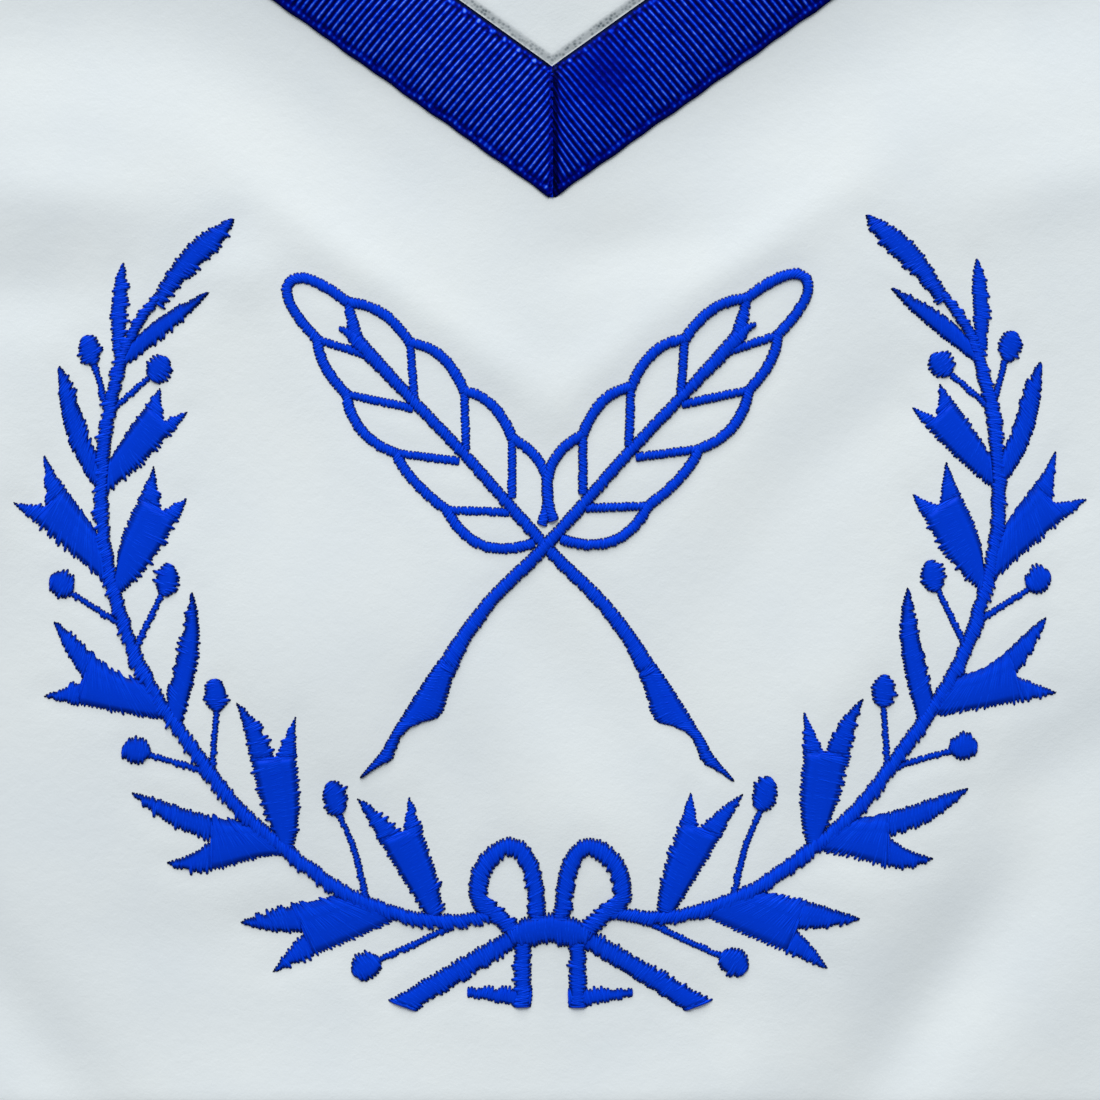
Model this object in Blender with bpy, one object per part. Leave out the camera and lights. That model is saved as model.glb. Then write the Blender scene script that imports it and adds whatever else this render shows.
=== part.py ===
"""A masonic apron lying flat, face up.

A white leathercloth body carries a pointed flap. Blue ribbed ribbon edges both, and a blue
embroidered emblem fills the middle: two crossed quill pens in a laurel wreath tied with a bow.
A webbing belt is sewn behind the top corners and closes behind the apron in one plain clasp.

+X is the right of the apron as it is looked at, +Y points to the waist and +Z faces the viewer.
The origin is on the surface that the apron lies on, under the middle of the body.
Sizes in the tables are millimetres.
"""

import math
from collections import namedtuple

import bmesh
import bpy
from mathutils import Vector
from mathutils.geometry import delaunay_2d_cdt

MM = 0.001

# The sewn panels: 16 by 14 inches, with 7/8 inch ribbon
APRON_WIDTH = 406.0
APRON_HEIGHT = 356.0
FLAP_DEPTH = 145.0
RIBBON_WIDTH = 21.5
PANEL_THICKNESS = 2.0
FLAP_THICKNESS = 1.5
RIBBON_THICKNESS = 1.0
EMBROIDERY_HEIGHT = 0.8

# Clearances between the layers, and how far a panel stops short of its ribbon's outer edge
GAP = 0.3
EDGE_INSET = 0.6

# Facet sizes of the sheets and step counts of the embroidered outlines
PANEL_CELL = 15.0
FLAP_CELL = 16.0
RIBBON_CELL = 21.0
LEAF_STEPS = 5
PRONG_STEPS = 2
BAND_STEPS = 2
ARC_STEPS = 6
BERRY_SIDES = 10
MERGE_DISTANCE = 0.02

# The belt: 25 mm webbing in a loop of about 920 mm, flattened behind the apron
BELT_WIDTH = 25.0
BELT_THICKNESS = 1.5
BELT_DROP = 17.0
BELT_TAB_END = 150.0
BELT_TURN_START = 205.0
CLASP_LENGTH = 46.0
CLASP_WIDTH = 29.0
CLASP_THICKNESS = 3.2
CLASP_CORNER = 5.0
CLASP_BEVEL = 0.6

# How the cloth lies: flat under the border ribbon, plump inside it, lifted over the belt
PLUMP = 1.5
PLUMP_MARGIN = 48.0
BELT_LIFT = 3.6
BELT_RISE_START = 70.0
BELT_RISE_END = 146.0
FLAP_RIDE_START = 128.0
FLAP_RIDE_END = 180.0

TOP = APRON_HEIGHT / 2
SIDE = APRON_WIDTH / 2

# Soft folds of the body: centre, direction, half length, half width and height of the crest
Fold = namedtuple("Fold", "x y angle length width height")
FOLDS = (
    Fold(68, -126, 51, 52, 13, -1.4),
    Fold(-96, -124, -45, 30, 12, -1.2),
    Fold(-100, 27, 0, 28, 13, -0.8),
    Fold(108, 29, 0, 26, 13, -0.7),
    Fold(56, -10, 22, 24, 11, -0.4),
    Fold(100, -110, 51, 50, 16, 0.5),
    Fold(-60, -150, -20, 60, 16, 0.4),
    Fold(0, -110, 0, 90, 20, 0.3),
)

# Where the emblem's own centre lies on the body, and how its parts are shifted on it
EMBLEM_X = -0.4
EMBLEM_Y = -50.4
WREATH_SKEW = 0.4
SECOND_QUILL_SHIFT = (-1.0, 0.8)

# One laurel branch. A leaf's edge a is on the left hand from root to tip, edge b on the right.
# Swells are how far an edge bows outwards near its start and near its end, going round from
# root a to root b. A forked leaf has a notch between two tips, with prongs that swell inwards.
Leaf = namedtuple("Leaf", "name root_a tip_a notch tip_b root_b swell_a swell_b prongs")
LEAVES = (
    Leaf("crown", (-79.8, 63.0), (-63.6, 78.6), None, None, (-77.6, 61.0),
         (2.6, 4.8), (3.3, -1.9), None),
    Leaf("narrow_out", (-87.2, 51.0), (-85.4, 69.8), None, None, (-85.0, 51.0),
         (1.6, 3.2), (1.4, -0.4), None),
    Leaf("narrow_in", (-83.2, 55.0), (-68.8, 64.0), None, None, (-86.0, 49.0),
         (1.6, 1.6), (1.4, 0.5), None),
    Leaf("spear_out", (-89.8, 23.8), (-98.0, 49.2), None, None, (-89.4, 29.0),
         (3.9, 3.9), (2.0, -1.7), None),
    Leaf("fork_in_1", (-88.0, 31.2), (-78.0, 44.6), (-77.6, 38.6), (-73.2, 40.2), (-88.8, 24.2),
         (0.5, 0.7), (1.5, 1.1), (0.0, 0.0)),
    Leaf("fork_out_1", (-89.2, 6.2), (-106.8, 22.2), (-100.6, 21.4), (-101.2, 31.2), (-90.0, 14.6),
         (-0.2, 0.5), (-1.0, 0.9), (0.0, 0.0)),
    Leaf("fork_in_2", (-86.8, 8.6), (-79.2, 29.0), (-77.8, 20.6), (-73.2, 22.8), (-87.2, 3.0),
         (2.9, 0.2), (1.9, 2.9), (0.0, 0.0)),
    Leaf("spear_in", (-77.0, -18.4), (-71.6, 3.8), None, None, (-74.0, -23.8),
         (0.0, 0.3), (4.3, 1.7), None),
    Leaf("fork_out_2", (-76.0, -21.4), (-100.8, -16.2), (-93.2, -13.2), (-99.0, -2.0),
         (-80.8, -13.0), (0.4, 1.2), (0.1, -4.9), (0.0, 0.8)),
    Leaf("fork_in_3", (-54.2, -46.0), (-62.2, -18.2), (-55.0, -28.8), (-51.0, -21.0),
         (-52.0, -48.4), (2.6, -0.1), (-0.4, 3.7), (1.5, 0.0)),
    Leaf("fork_out_3", (-51.6, -48.8), (-76.2, -49.4), (-67.6, -45.2), (-83.2, -36.0),
         (-59.6, -41.8), (-2.3, 6.3), (0.4, -2.0), (-0.8, 2.2)),
    Leaf("fork_in_4", (-24.8, -60.8), (-38.0, -37.2), (-29.6, -43.8), (-28.2, -37.2),
         (-21.4, -60.8), (0.4, 1.1), (0.3, 2.3), (0.5, 0.0)),
    Leaf("fork_out_4", (-30.0, -61.0), (-55.2, -71.2), (-49.2, -63.8), (-61.4, -61.8),
         (-41.0, -56.4), (0.6, 0.7), (1.0, 0.8), (0.5, 1.1)),
)
STEM = (
    (-78.8, 63.4), (-84.2, 55.4), (-87.0, 46.6), (-89.0, 37.2), (-89.8, 26.6), (-89.6, 16.2),
    (-87.2, 4.0), (-83.0, -8.4), (-78.0, -17.6), (-70.2, -28.8), (-61.8, -39.6), (-52.4, -47.8),
    (-40.8, -56.0), (-29.4, -60.4), (-22.0, -61.6), (-15.8, -61.1),
)
STEM_WIDTH = 2.7
STALK_WIDTH = 1.1
Berry = namedtuple("Berry", "centre width height stalk")
BERRIES = (
    Berry((-92.2, 52.8), 4.6, 6.0, ((-91.4, 50.6), (-88.8, 41.2))),
    Berry((-78.4, 49.2), 5.2, 5.2, ((-80.0, 47.6), (-87.6, 41.0))),
    Berry((-97.8, 6.0), 4.8, 5.8, ((-96.6, 4.6), (-84.8, -2.8))),
    Berry((-76.6, 6.8), 5.0, 6.2, ((-77.4, 4.6), (-83.4, -7.8))),
    Berry((-66.8, -16.2), 5.0, 6.2, ((-66.7, -18.4), (-67.6, -31.8))),
    Berry((-82.8, -27.4), 5.4, 5.6, ((-81.0, -28.0), (-69.2, -31.4))),
    Berry((-43.0, -36.8), 5.0, 7.0, ((-42.4, -39.6), (-39.2, -47.2), (-36.8, -57.0))),
    Berry((-36.8, -70.6), 6.0, 5.6, ((-34.6, -69.5), (-26.4, -65.8), (-19.6, -62.4))),
)

# One quill, its feather at the upper left and its nib at the lower right. Both edges of the
# feather are rows of scallops between joints, each bowed towards a bend point, and a barb runs
# from each joint to the shaft.
UPPER_JOINTS = ((-40.4, 62.0), (-28.0, 53.8), (-17.2, 44.2), (-7.6, 34.8), (-1.6, 17.6))
UPPER_BENDS = ((-33.0, 61.7), (-21.0, 53.4), (-10.8, 43.3), (2.6, 29.4))
UPPER_BARB_ENDS = ((-38.8, 54.4), (-27.2, 42.6), (-16.8, 32.6), (-7.6, 23.0))
LOWER_JOINTS = ((-46.6, 54.6), (-40.8, 43.6), (-30.8, 31.8), (-20.6, 20.4), (-3.4, 13.8))
LOWER_BENDS = ((-46.5, 49.3), (-39.4, 34.7), (-28.7, 26.3), (-15.2, 9.7))
LOWER_BARB_ENDS = ((-36.8, 51.4), (-27.6, 40.8), (-18.4, 30.2), (-8.4, 20.0))
TIP_BENDS = ((-50.0, 69.4), (-54.2, 62.4))
TIP_END = (-52.4, 65.8)
RIM_WIDTH = 1.8
BARB_WIDTH = 1.45
SPUR = ((-42.2, 56.9), (-40.0, 55.8), (-38.0, 53.4))
SPUR_WIDTHS = (0.6, 1.6)
SHAFT = (
    (-38.8, 54.4), (-28.8, 43.8), (-17.2, 31.6), (-8.0, 21.2),
    (0.4, 11.4), (9.0, 2.2), (15.2, -5.8), (20.4, -13.8),
)
SHAFT_WIDTHS = (1.8, 2.0, 2.1, 2.2, 2.4, 2.7, 3.3, 4.4)
NIB = (
    (19.0, -11.8), (18.2, -14.8), (20.8, -22.4), (28.0, -25.8), (30.2, -31.0), (36.4, -34.4),
    (33.2, -29.6), (28.0, -20.6), (22.8, -12.4),
)

# Half of the bow, right of its middle: a loop, a leg with a foot, and a tail. A bar joins both.
BOW_LOOP = (
    (8.4, -62.8), (11.6, -60.0), (14.0, -58.2), (14.5, -54.6), (13.3, -50.8), (10.5, -47.8),
    (7.8, -46.9), (5.4, -48.2), (3.8, -51.4), (2.9, -55.6), (2.3, -61.5),
)
BOW_LOOP_WIDTH = 3.4
BOW_LEG = ((3.8, -64.4), (3.8, -79.0), (7.2, -79.0), (7.2, -64.4))
BOW_FOOT = ((3.8, -75.4), (3.8, -79.0), (7.0, -79.0), (16.3, -77.1), (16.3, -75.4))
BOW_TAIL = ((6.6, -62.8), (6.0, -66.8), (13.6, -71.4), (27.0, -79.7), (32.2, -77.8), (17.0, -68.8))
BOW_BAR = (
    (-8.6, -64.0), (-7.0, -66.8), (-3.8, -66.2), (0.0, -65.2), (3.8, -66.2), (7.0, -66.8),
    (8.6, -64.0), (5.0, -61.2), (0.0, -60.4), (-5.0, -61.2),
)

# The side of the belt's turn outside the apron: distance past its start, and height
BELT_TURN = (
    (0.0, 2.55), (9.0, 2.9), (16.0, 4.0), (21.0, 4.5), (24.2, 3.6),
    (24.4, 2.2), (21.6, 1.0), (16.0, 0.75), (9.0, 0.75), (0.0, 0.75),
)

WHITE_LEATHERCLOTH = "#E4E9ED"
BLUE_RIBBON = "#0A2499"
BLUE_THREAD = "#0A35B4"
WHITE_WEBBING = "#E2E4E6"
NICKEL = "#B9BCC0"


def linear(hex_colour):
    """An sRGB hex colour as linear RGBA."""
    channels = [int(hex_colour[i:i + 2], 16) / 255 for i in (1, 3, 5)]
    return [c / 12.92 if c <= 0.04045 else ((c + 0.055) / 1.055) ** 2.4 for c in channels] + [1.0]


def finish(name, hex_colour, roughness, metallic=0.0):
    """A Principled material of its own for one piece."""
    material = bpy.data.materials.new(name)
    material.use_nodes = True
    shader = material.node_tree.nodes["Principled BSDF"]
    shader.inputs["Base Color"].default_value = linear(hex_colour)
    shader.inputs["Roughness"].default_value = roughness
    shader.inputs["Metallic"].default_value = metallic
    return material


def smooth(low, high, value):
    """0 below low, 1 above high, with a soft start and end between them."""
    t = min(max((value - low) / (high - low), 0.0), 1.0)
    return t * t * (3 - 2 * t)


def drape(x, y):
    """Height of the body's underside over the surface it lies on."""
    hem = min(SIDE - abs(x), TOP - abs(y)) - RIBBON_WIDTH
    height = PLUMP * smooth(0.0, PLUMP_MARGIN, hem)
    for fold in FOLDS:
        turn = math.radians(fold.angle)
        along = (x - fold.x) * math.cos(turn) + (y - fold.y) * math.sin(turn)
        across = (y - fold.y) * math.cos(turn) - (x - fold.x) * math.sin(turn)
        reach = (along / fold.length) ** 2 + (across / fold.width) ** 2
        height += fold.height * math.exp(-reach) * smooth(0.0, PLUMP_MARGIN / 2, hem)
    return max(height, 0.0) + BELT_LIFT * smooth(BELT_RISE_START, BELT_RISE_END, y)


def on_body(x, y):
    """Height just above the body's face, where ribbon and embroidery lie."""
    return drape(x, y) + PANEL_THICKNESS + GAP


def under_flap(x, y):
    """Height of the flap's underside, which rides over the side ribbons near the top corners."""
    ride = smooth(FLAP_RIDE_START, FLAP_RIDE_END, abs(x))
    return on_body(x, y) + (RIBBON_THICKNESS + GAP) * ride


def on_flap(x, y):
    """Height just above the flap's face."""
    return under_flap(x, y) + FLAP_THICKNESS + GAP


def counterclockwise(outline):
    """The outline's points, turned round if they run clockwise."""
    area = sum(a[0] * b[1] - b[0] * a[1] for a, b in zip(outline, outline[1:] + outline[:1]))
    return outline if area > 0 else outline[::-1]


def sheet(name, outlines, height, thickness, material, inner_points=()):
    """A closed sheet that fills the union of flat outlines and follows height(x, y)."""
    points = []
    loops = []
    for outline in outlines:
        ring = counterclockwise(list(outline))
        loops.append(list(range(len(points), len(points) + len(ring))))
        points.extend(Vector(p) for p in ring)
    points.extend(Vector(p) for p in inner_points)
    filled = delaunay_2d_cdt(points, [], loops, 1, MERGE_DISTANCE, True)
    corners, triangles, sources = filled[0], filled[2], filled[5]

    bm = bmesh.new()
    verts = [bm.verts.new((p.x, p.y, height(p.x, p.y))) for p in corners]
    for triangle, source in zip(triangles, sources):
        if source:
            bm.faces.new([verts[i] for i in triangle])
    bmesh.ops.delete(bm, geom=[v for v in verts if not v.link_faces], context="VERTS")
    everything = bm.verts[:] + bm.edges[:] + bm.faces[:]
    raised = bmesh.ops.extrude_face_region(bm, geom=everything, use_keep_orig=True)
    top = [g for g in raised["geom"] if isinstance(g, bmesh.types.BMVert)]
    bmesh.ops.translate(bm, verts=top, vec=(0.0, 0.0, thickness))
    bmesh.ops.recalc_face_normals(bm, faces=bm.faces[:])
    return place(name, bm, material)


def place(name, bm, material):
    """Link a mesh made in millimetres as an object of its own, in metres."""
    bmesh.ops.scale(bm, vec=(MM, MM, MM), verts=bm.verts[:])
    mesh = bpy.data.meshes.new(name)
    bm.to_mesh(mesh)
    bm.free()
    mesh.materials.append(material)
    piece = bpy.data.objects.new(name, mesh)
    bpy.context.scene.collection.objects.link(piece)
    return piece


def divided(corners, cell):
    """The outline through the corners, with points about one cell apart."""
    outline = []
    for start, end in zip(corners, corners[1:] + corners[:1]):
        steps = max(1, round(math.dist(start, end) / cell))
        outline.extend(
            (start[0] + (end[0] - start[0]) * i / steps, start[1] + (end[1] - start[1]) * i / steps)
            for i in range(steps))
    return outline


def lattice(corners, cell):
    """Points of a square lattice inside a convex outline, half a cell or more from its edges."""
    ring = counterclockwise(list(corners))
    sides = list(zip(ring, ring[1:] + ring[:1]))
    half_columns = int(SIDE / cell)
    half_rows = int(TOP / cell)
    inside = []
    for column in range(-half_columns, half_columns + 1):
        for row in range(-half_rows, half_rows + 1):
            x, y = column * cell, row * cell
            depths = [((b[0] - a[0]) * (y - a[1]) - (b[1] - a[1]) * (x - a[0])) / math.dist(a, b)
                      for a, b in sides]
            if min(depths) > cell / 2:
                inside.append((x, y))
    return inside


def mirrored(outlines):
    """The same outlines on the other side of the middle."""
    return [[(-x, y) for x, y in outline] for outline in outlines]


def moved(outlines, dx, dy):
    """The outlines shifted by dx and dy."""
    return [[(x + dx, y + dy) for x, y in outline] for outline in outlines]


def through(points, steps):
    """A smooth curve through the points, with so many steps between neighbours."""
    ends = [Vector(p) for p in points]
    ends = [2 * ends[0] - ends[1]] + ends + [2 * ends[-1] - ends[-2]]
    curve = []
    for a, b, c, d in zip(ends, ends[1:], ends[2:], ends[3:]):
        for i in range(steps):
            t = i / steps
            curve.append(0.5 * (2 * b + (c - a) * t + (2 * a - 5 * b + 4 * c - d) * t ** 2
                                + (3 * b - a - 3 * c + d) * t ** 3))
    return curve + [ends[-2]]


def bowed(start, end, swell, steps):
    """An edge from start to end that swells to its left near each end by the given amounts."""
    start, end = Vector(start), Vector(end)
    chord = end - start
    outward = Vector((-chord.y, chord.x)).normalized()
    edge = []
    for i in range(steps + 1):
        t = i / steps
        offset = 3 * (1 - t) ** 2 * t * swell[0] + 3 * (1 - t) * t ** 2 * swell[1]
        edge.append(tuple(start + chord * t + outward * offset))
    return edge


def arc(start, bend, end, steps):
    """A curve from start to end that is drawn towards the bend point."""
    start, bend, end = Vector(start), Vector(bend), Vector(end)
    return [start * (1 - i / steps) ** 2 + bend * 2 * (i / steps) * (1 - i / steps)
            + end * (i / steps) ** 2 for i in range(steps + 1)]


def band(path, widths):
    """The outline of a band along the path, its widths spread evenly from end to end."""
    path = [Vector(p) for p in path]
    left, right = [], []
    for i, point in enumerate(path):
        ahead = path[min(i + 1, len(path) - 1)] - path[max(i - 1, 0)]
        side = Vector((-ahead.y, ahead.x)).normalized()
        position = i / (len(path) - 1) * (len(widths) - 1)
        k = min(int(position), len(widths) - 2)
        half = (widths[k] + (widths[k + 1] - widths[k]) * (position - k)) / 2
        left.append(tuple(point + side * half))
        right.append(tuple(point - side * half))
    return left + right[::-1]


def leaf_outline(leaf):
    """Round a simple or forked leaf from its first root point to its second."""
    outline = bowed(leaf.root_a, leaf.tip_a, leaf.swell_a, LEAF_STEPS)
    last_tip = leaf.tip_a
    if leaf.notch:
        swell_a, swell_b = leaf.prongs
        outline += bowed(leaf.tip_a, leaf.notch, (swell_a, swell_a), PRONG_STEPS)[1:]
        outline += bowed(leaf.notch, leaf.tip_b, (swell_b, swell_b), PRONG_STEPS)[1:]
        last_tip = leaf.tip_b
    return outline + bowed(last_tip, leaf.root_b, leaf.swell_b, LEAF_STEPS)[1:]


def berry_outline(berry):
    """An oval berry."""
    turns = [2 * math.pi * i / BERRY_SIDES for i in range(BERRY_SIDES)]
    return [(berry.centre[0] + berry.width / 2 * math.cos(t),
             berry.centre[1] + berry.height / 2 * math.sin(t)) for t in turns]


def branch_outlines():
    """The laurel branch on the left of the wreath."""
    outlines = [leaf_outline(leaf) for leaf in LEAVES]
    outlines.append(band(through(STEM, BAND_STEPS), (STEM_WIDTH, STEM_WIDTH)))
    for berry in BERRIES:
        outlines.append(berry_outline(berry))
        outlines.append(band(berry.stalk, (STALK_WIDTH, STALK_WIDTH)))
    return outlines


def quill_outlines():
    """One quill: feather rim, barbs, shaft and nib."""
    rim = (RIM_WIDTH, RIM_WIDTH)
    outlines = [
        band(arc(UPPER_JOINTS[0], TIP_BENDS[0], TIP_END, ARC_STEPS), rim),
        band(arc(TIP_END, TIP_BENDS[1], LOWER_JOINTS[0], ARC_STEPS), rim),
        band(through(SPUR, 1), SPUR_WIDTHS),
        band(through(SHAFT, BAND_STEPS), SHAFT_WIDTHS),
        list(NIB),
    ]
    for joints, bends, ends in (
        (UPPER_JOINTS, UPPER_BENDS, UPPER_BARB_ENDS),
        (LOWER_JOINTS, LOWER_BENDS, LOWER_BARB_ENDS),
    ):
        for start, bend, end in zip(joints, bends, joints[1:]):
            outlines.append(band(arc(start, bend, end, ARC_STEPS), rim))
        for joint, end in zip(joints, ends):
            outlines.append(band((joint, end), (BARB_WIDTH, BARB_WIDTH)))
    return outlines


def bow_outlines():
    """Both halves of the bow and the bar between them."""
    half = [
        band(through(BOW_LOOP, BAND_STEPS), (BOW_LOOP_WIDTH, BOW_LOOP_WIDTH)),
        list(BOW_LEG),
        list(BOW_FOOT),
        list(BOW_TAIL),
    ]
    return half + mirrored(half) + [list(BOW_BAR)]


def make_body():
    """The panel, its edges a little inside the border ribbon's."""
    x, y = SIDE - EDGE_INSET, TOP - EDGE_INSET
    corners = [(-x, -y), (x, -y), (x, y), (-x, y)]
    sheet("apron_body", [divided(corners, PANEL_CELL)], drape, PANEL_THICKNESS,
          finish("white leathercloth", WHITE_LEATHERCLOTH, 0.55), lattice(corners, PANEL_CELL))


def make_flap():
    """The pointed flap, under its ribbon up to a small inset."""
    slope = math.atan2(FLAP_DEPTH, SIDE)
    inset = EDGE_INSET / math.sin(slope)
    tip = TOP - FLAP_DEPTH + EDGE_INSET / math.cos(slope)
    corners = [(0.0, tip), (SIDE - inset, TOP), (inset - SIDE, TOP)]
    sheet("flap", [divided(corners, FLAP_CELL)], under_flap, FLAP_THICKNESS,
          finish("white leathercloth flap", WHITE_LEATHERCLOTH, 0.55), lattice(corners, FLAP_CELL))


def make_flap_ribbons():
    """Ribbon along both sloping edges of the flap, mitred at the point."""
    slope = math.atan2(FLAP_DEPTH, SIDE)
    seam = GAP / 2
    outer_tip = TOP - FLAP_DEPTH + seam * math.tan(slope)
    inner_tip = outer_tip + RIBBON_WIDTH / math.cos(slope)
    inner_top = SIDE - RIBBON_WIDTH / math.sin(slope)
    right = [(seam, outer_tip), (SIDE, TOP), (inner_top, TOP), (seam, inner_tip)]
    for name, corners in (
        ("flap_ribbon_right", right),
        ("flap_ribbon_left", mirrored([right])[0]),
    ):
        sheet(name, [divided(corners, RIBBON_CELL / 2)], on_flap, RIBBON_THICKNESS,
              finish("blue ribbon " + name, BLUE_RIBBON, 0.45))


def make_border_ribbons():
    """Ribbon down both sides of the body and along its foot, mitred at the lower corners."""
    x, y = SIDE - RIBBON_WIDTH, TOP - RIBBON_WIDTH
    right = [(SIDE, -TOP + GAP), (SIDE, TOP), (x, TOP), (x, -y + GAP)]
    bottom = [(-SIDE, -TOP), (SIDE, -TOP), (x, -y), (-x, -y)]
    for name, corners in (
        ("border_ribbon_right", right),
        ("border_ribbon_left", mirrored([right])[0]),
        ("border_ribbon_bottom", bottom),
    ):
        sheet(name, [divided(corners, RIBBON_CELL / 2)], on_body, RIBBON_THICKNESS,
              finish("blue ribbon " + name, BLUE_RIBBON, 0.45))


def make_emblem():
    """The raised embroidery: quills, wreath and bow."""
    quill = quill_outlines()
    second = moved(mirrored(quill), *SECOND_QUILL_SHIFT)
    branch = branch_outlines()
    pieces = (
        ("crossed_quills", quill + second),
        ("wreath_left", moved(branch, 0.0, -WREATH_SKEW)),
        ("wreath_right", moved(mirrored(branch), 0.0, WREATH_SKEW)),
        ("bow", bow_outlines()),
    )
    for name, outlines in pieces:
        sheet(name, moved(outlines, EMBLEM_X, EMBLEM_Y), on_body, EMBROIDERY_HEIGHT,
              finish("blue thread " + name, BLUE_THREAD, 0.4))


def make_belt():
    """Each half runs out from behind a top corner, turns back and lies behind the apron."""
    turn = through(BELT_TURN, 1)
    clasp_end = CLASP_LENGTH / 2 + GAP
    side_path = [(BELT_TAB_END, turn[0].y)]
    side_path += [(BELT_TURN_START + p.x, p.y) for p in turn]
    side_path += [(clasp_end, turn[-1].y)]
    side_outline = band(side_path, (BELT_THICKNESS, BELT_THICKNESS))
    for name, direction in (("belt_right", 1), ("belt_left", -1)):
        bm = bmesh.new()
        outline = counterclockwise([(direction * x, z) for x, z in side_outline])
        edge_y = TOP - BELT_DROP - BELT_WIDTH / 2
        face = bm.faces.new([bm.verts.new((x, edge_y, z)) for x, z in outline])
        woven = bmesh.ops.extrude_face_region(bm, geom=[face], use_keep_orig=True)
        far = [g for g in woven["geom"] if isinstance(g, bmesh.types.BMVert)]
        bmesh.ops.translate(bm, verts=far, vec=(0.0, BELT_WIDTH, 0.0))
        bmesh.ops.triangulate(bm, faces=bm.faces[:])
        bmesh.ops.recalc_face_normals(bm, faces=bm.faces[:])
        place(name, bm, finish("white webbing " + name, WHITE_WEBBING, 0.7))


def make_clasp():
    """One plain plate with rounded corners between the two ends of the belt."""
    bm = bmesh.new()
    bmesh.ops.create_cube(bm, size=1.0)
    bmesh.ops.scale(bm, vec=(CLASP_LENGTH, CLASP_WIDTH, CLASP_THICKNESS), verts=bm.verts[:])
    middle = (0.0, TOP - BELT_DROP, CLASP_THICKNESS / 2)
    bmesh.ops.translate(bm, vec=middle, verts=bm.verts[:])
    upright = [e for e in bm.edges if abs(e.verts[0].co.z - e.verts[1].co.z) > CLASP_THICKNESS / 2]
    bmesh.ops.bevel(bm, geom=upright, offset=CLASP_CORNER, segments=4, affect="EDGES", profile=0.5)
    rim = [e for e in bm.edges if e.verts[0].co.z > CLASP_THICKNESS / 2 < e.verts[1].co.z]
    bmesh.ops.bevel(bm, geom=rim, offset=CLASP_BEVEL, segments=1, affect="EDGES", profile=0.5)
    place("belt_clasp", bm, finish("nickel plated clasp", NICKEL, 0.3, 1.0))


for old in list(bpy.data.objects):
    bpy.data.objects.remove(old)
make_body()
make_flap()
make_flap_ribbons()
make_border_ribbons()
make_emblem()
make_belt()
make_clasp()
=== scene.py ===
# %% [markdown]
# # A masonic apron, laid flat and seen from above
# A white leathercloth apron carries a pointed flap, blue ribbed ribbon and an embroidered
# emblem: two crossed quill pens in a laurel wreath tied with a bow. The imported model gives
# every piece its size and place. This lesson makes the surfaces that the eye reads: the soft
# lie of the cloth, the ribs of the ribbon and each stitch of the embroidery.

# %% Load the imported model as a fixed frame
import math
from collections import namedtuple

import bmesh
import bpy
import numpy as np
from mathutils.kdtree import KDTree
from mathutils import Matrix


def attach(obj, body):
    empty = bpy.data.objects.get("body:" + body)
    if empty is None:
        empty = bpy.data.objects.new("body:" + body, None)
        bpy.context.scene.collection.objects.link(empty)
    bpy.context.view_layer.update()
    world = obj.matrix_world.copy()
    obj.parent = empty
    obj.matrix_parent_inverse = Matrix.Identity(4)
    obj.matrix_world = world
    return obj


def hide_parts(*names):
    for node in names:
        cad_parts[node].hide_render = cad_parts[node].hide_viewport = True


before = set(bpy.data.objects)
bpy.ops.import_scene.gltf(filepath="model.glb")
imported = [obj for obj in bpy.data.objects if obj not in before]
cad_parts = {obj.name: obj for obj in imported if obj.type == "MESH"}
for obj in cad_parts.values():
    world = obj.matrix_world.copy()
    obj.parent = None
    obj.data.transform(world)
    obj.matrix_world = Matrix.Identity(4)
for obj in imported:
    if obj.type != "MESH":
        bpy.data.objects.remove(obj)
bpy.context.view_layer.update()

print("the packed model has", len(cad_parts), "pieces")

# %% [markdown]
# The tables below are in millimetres, because that is how an apron is cut and sewn. They are
# turned to metres once, when a mesh is made. +X is the right of the apron as it is looked at,
# +Y points to the waist and +Z faces the viewer.

# %% Sizes of the sewn apron
MM = 0.001
APRON_WIDTH, APRON_HEIGHT, FLAP_DEPTH, RIBBON_WIDTH = 406.0, 356.0, 145.0, 21.5
PANEL_THICKNESS, FLAP_THICKNESS, RIBBON_THICKNESS = 2.0, 1.2, 0.6
GAP, TOUCH = 0.3, 0.06
EDGE_INSET = 0.6
SIDE, TOP = APRON_WIDTH / 2, APRON_HEIGHT / 2
FLAP_SLOPE = math.atan2(FLAP_DEPTH, SIDE)
FLAP_TIP = TOP - FLAP_DEPTH
draws = np.random.default_rng(356)
print("apron", APRON_WIDTH, "by", APRON_HEIGHT, "mm, flap", FLAP_DEPTH, "mm deep")

# %% [markdown]
# The photograph looks straight down on a square of cloth about 220 mm wide. A long lens from
# half a metre up does the same and hardly bends anything.

# %% Place the camera over the emblem
VIEW_CENTRE_X, VIEW_CENTRE_Y, VIEW_WIDTH = -0.4, -38.0, 220.0
FACE_LEVEL = 5.0
lens = bpy.data.cameras.new("overhead_camera")
lens.lens, lens.sensor_width = 85.0, 36.0
camera = bpy.data.objects.new("overhead_camera", lens)
view_height = VIEW_WIDTH * lens.lens / lens.sensor_width + FACE_LEVEL
camera.location = (VIEW_CENTRE_X * MM, VIEW_CENTRE_Y * MM, view_height * MM)
bpy.context.scene.collection.objects.link(camera)
bpy.context.scene.camera = camera
print("camera", round(view_height), "mm above the table")

# %% [markdown]
# Every finish is built from nodes. A few helpers are enough: one turns an sRGB hex colour into
# the linear numbers that a shader works with, one adds a node with its settings and links, and
# the others start a finish and end it.

# %% Helpers for finishes
def linear(hex_colour):
    """An sRGB hex colour as linear RGBA."""
    channels = [int(hex_colour[i:i + 2], 16) / 255 for i in (1, 3, 5)]
    return [c / 12.92 if c <= 0.04045 else ((c + 0.055) / 1.055) ** 2.4 for c in channels] + [1.0]


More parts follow.
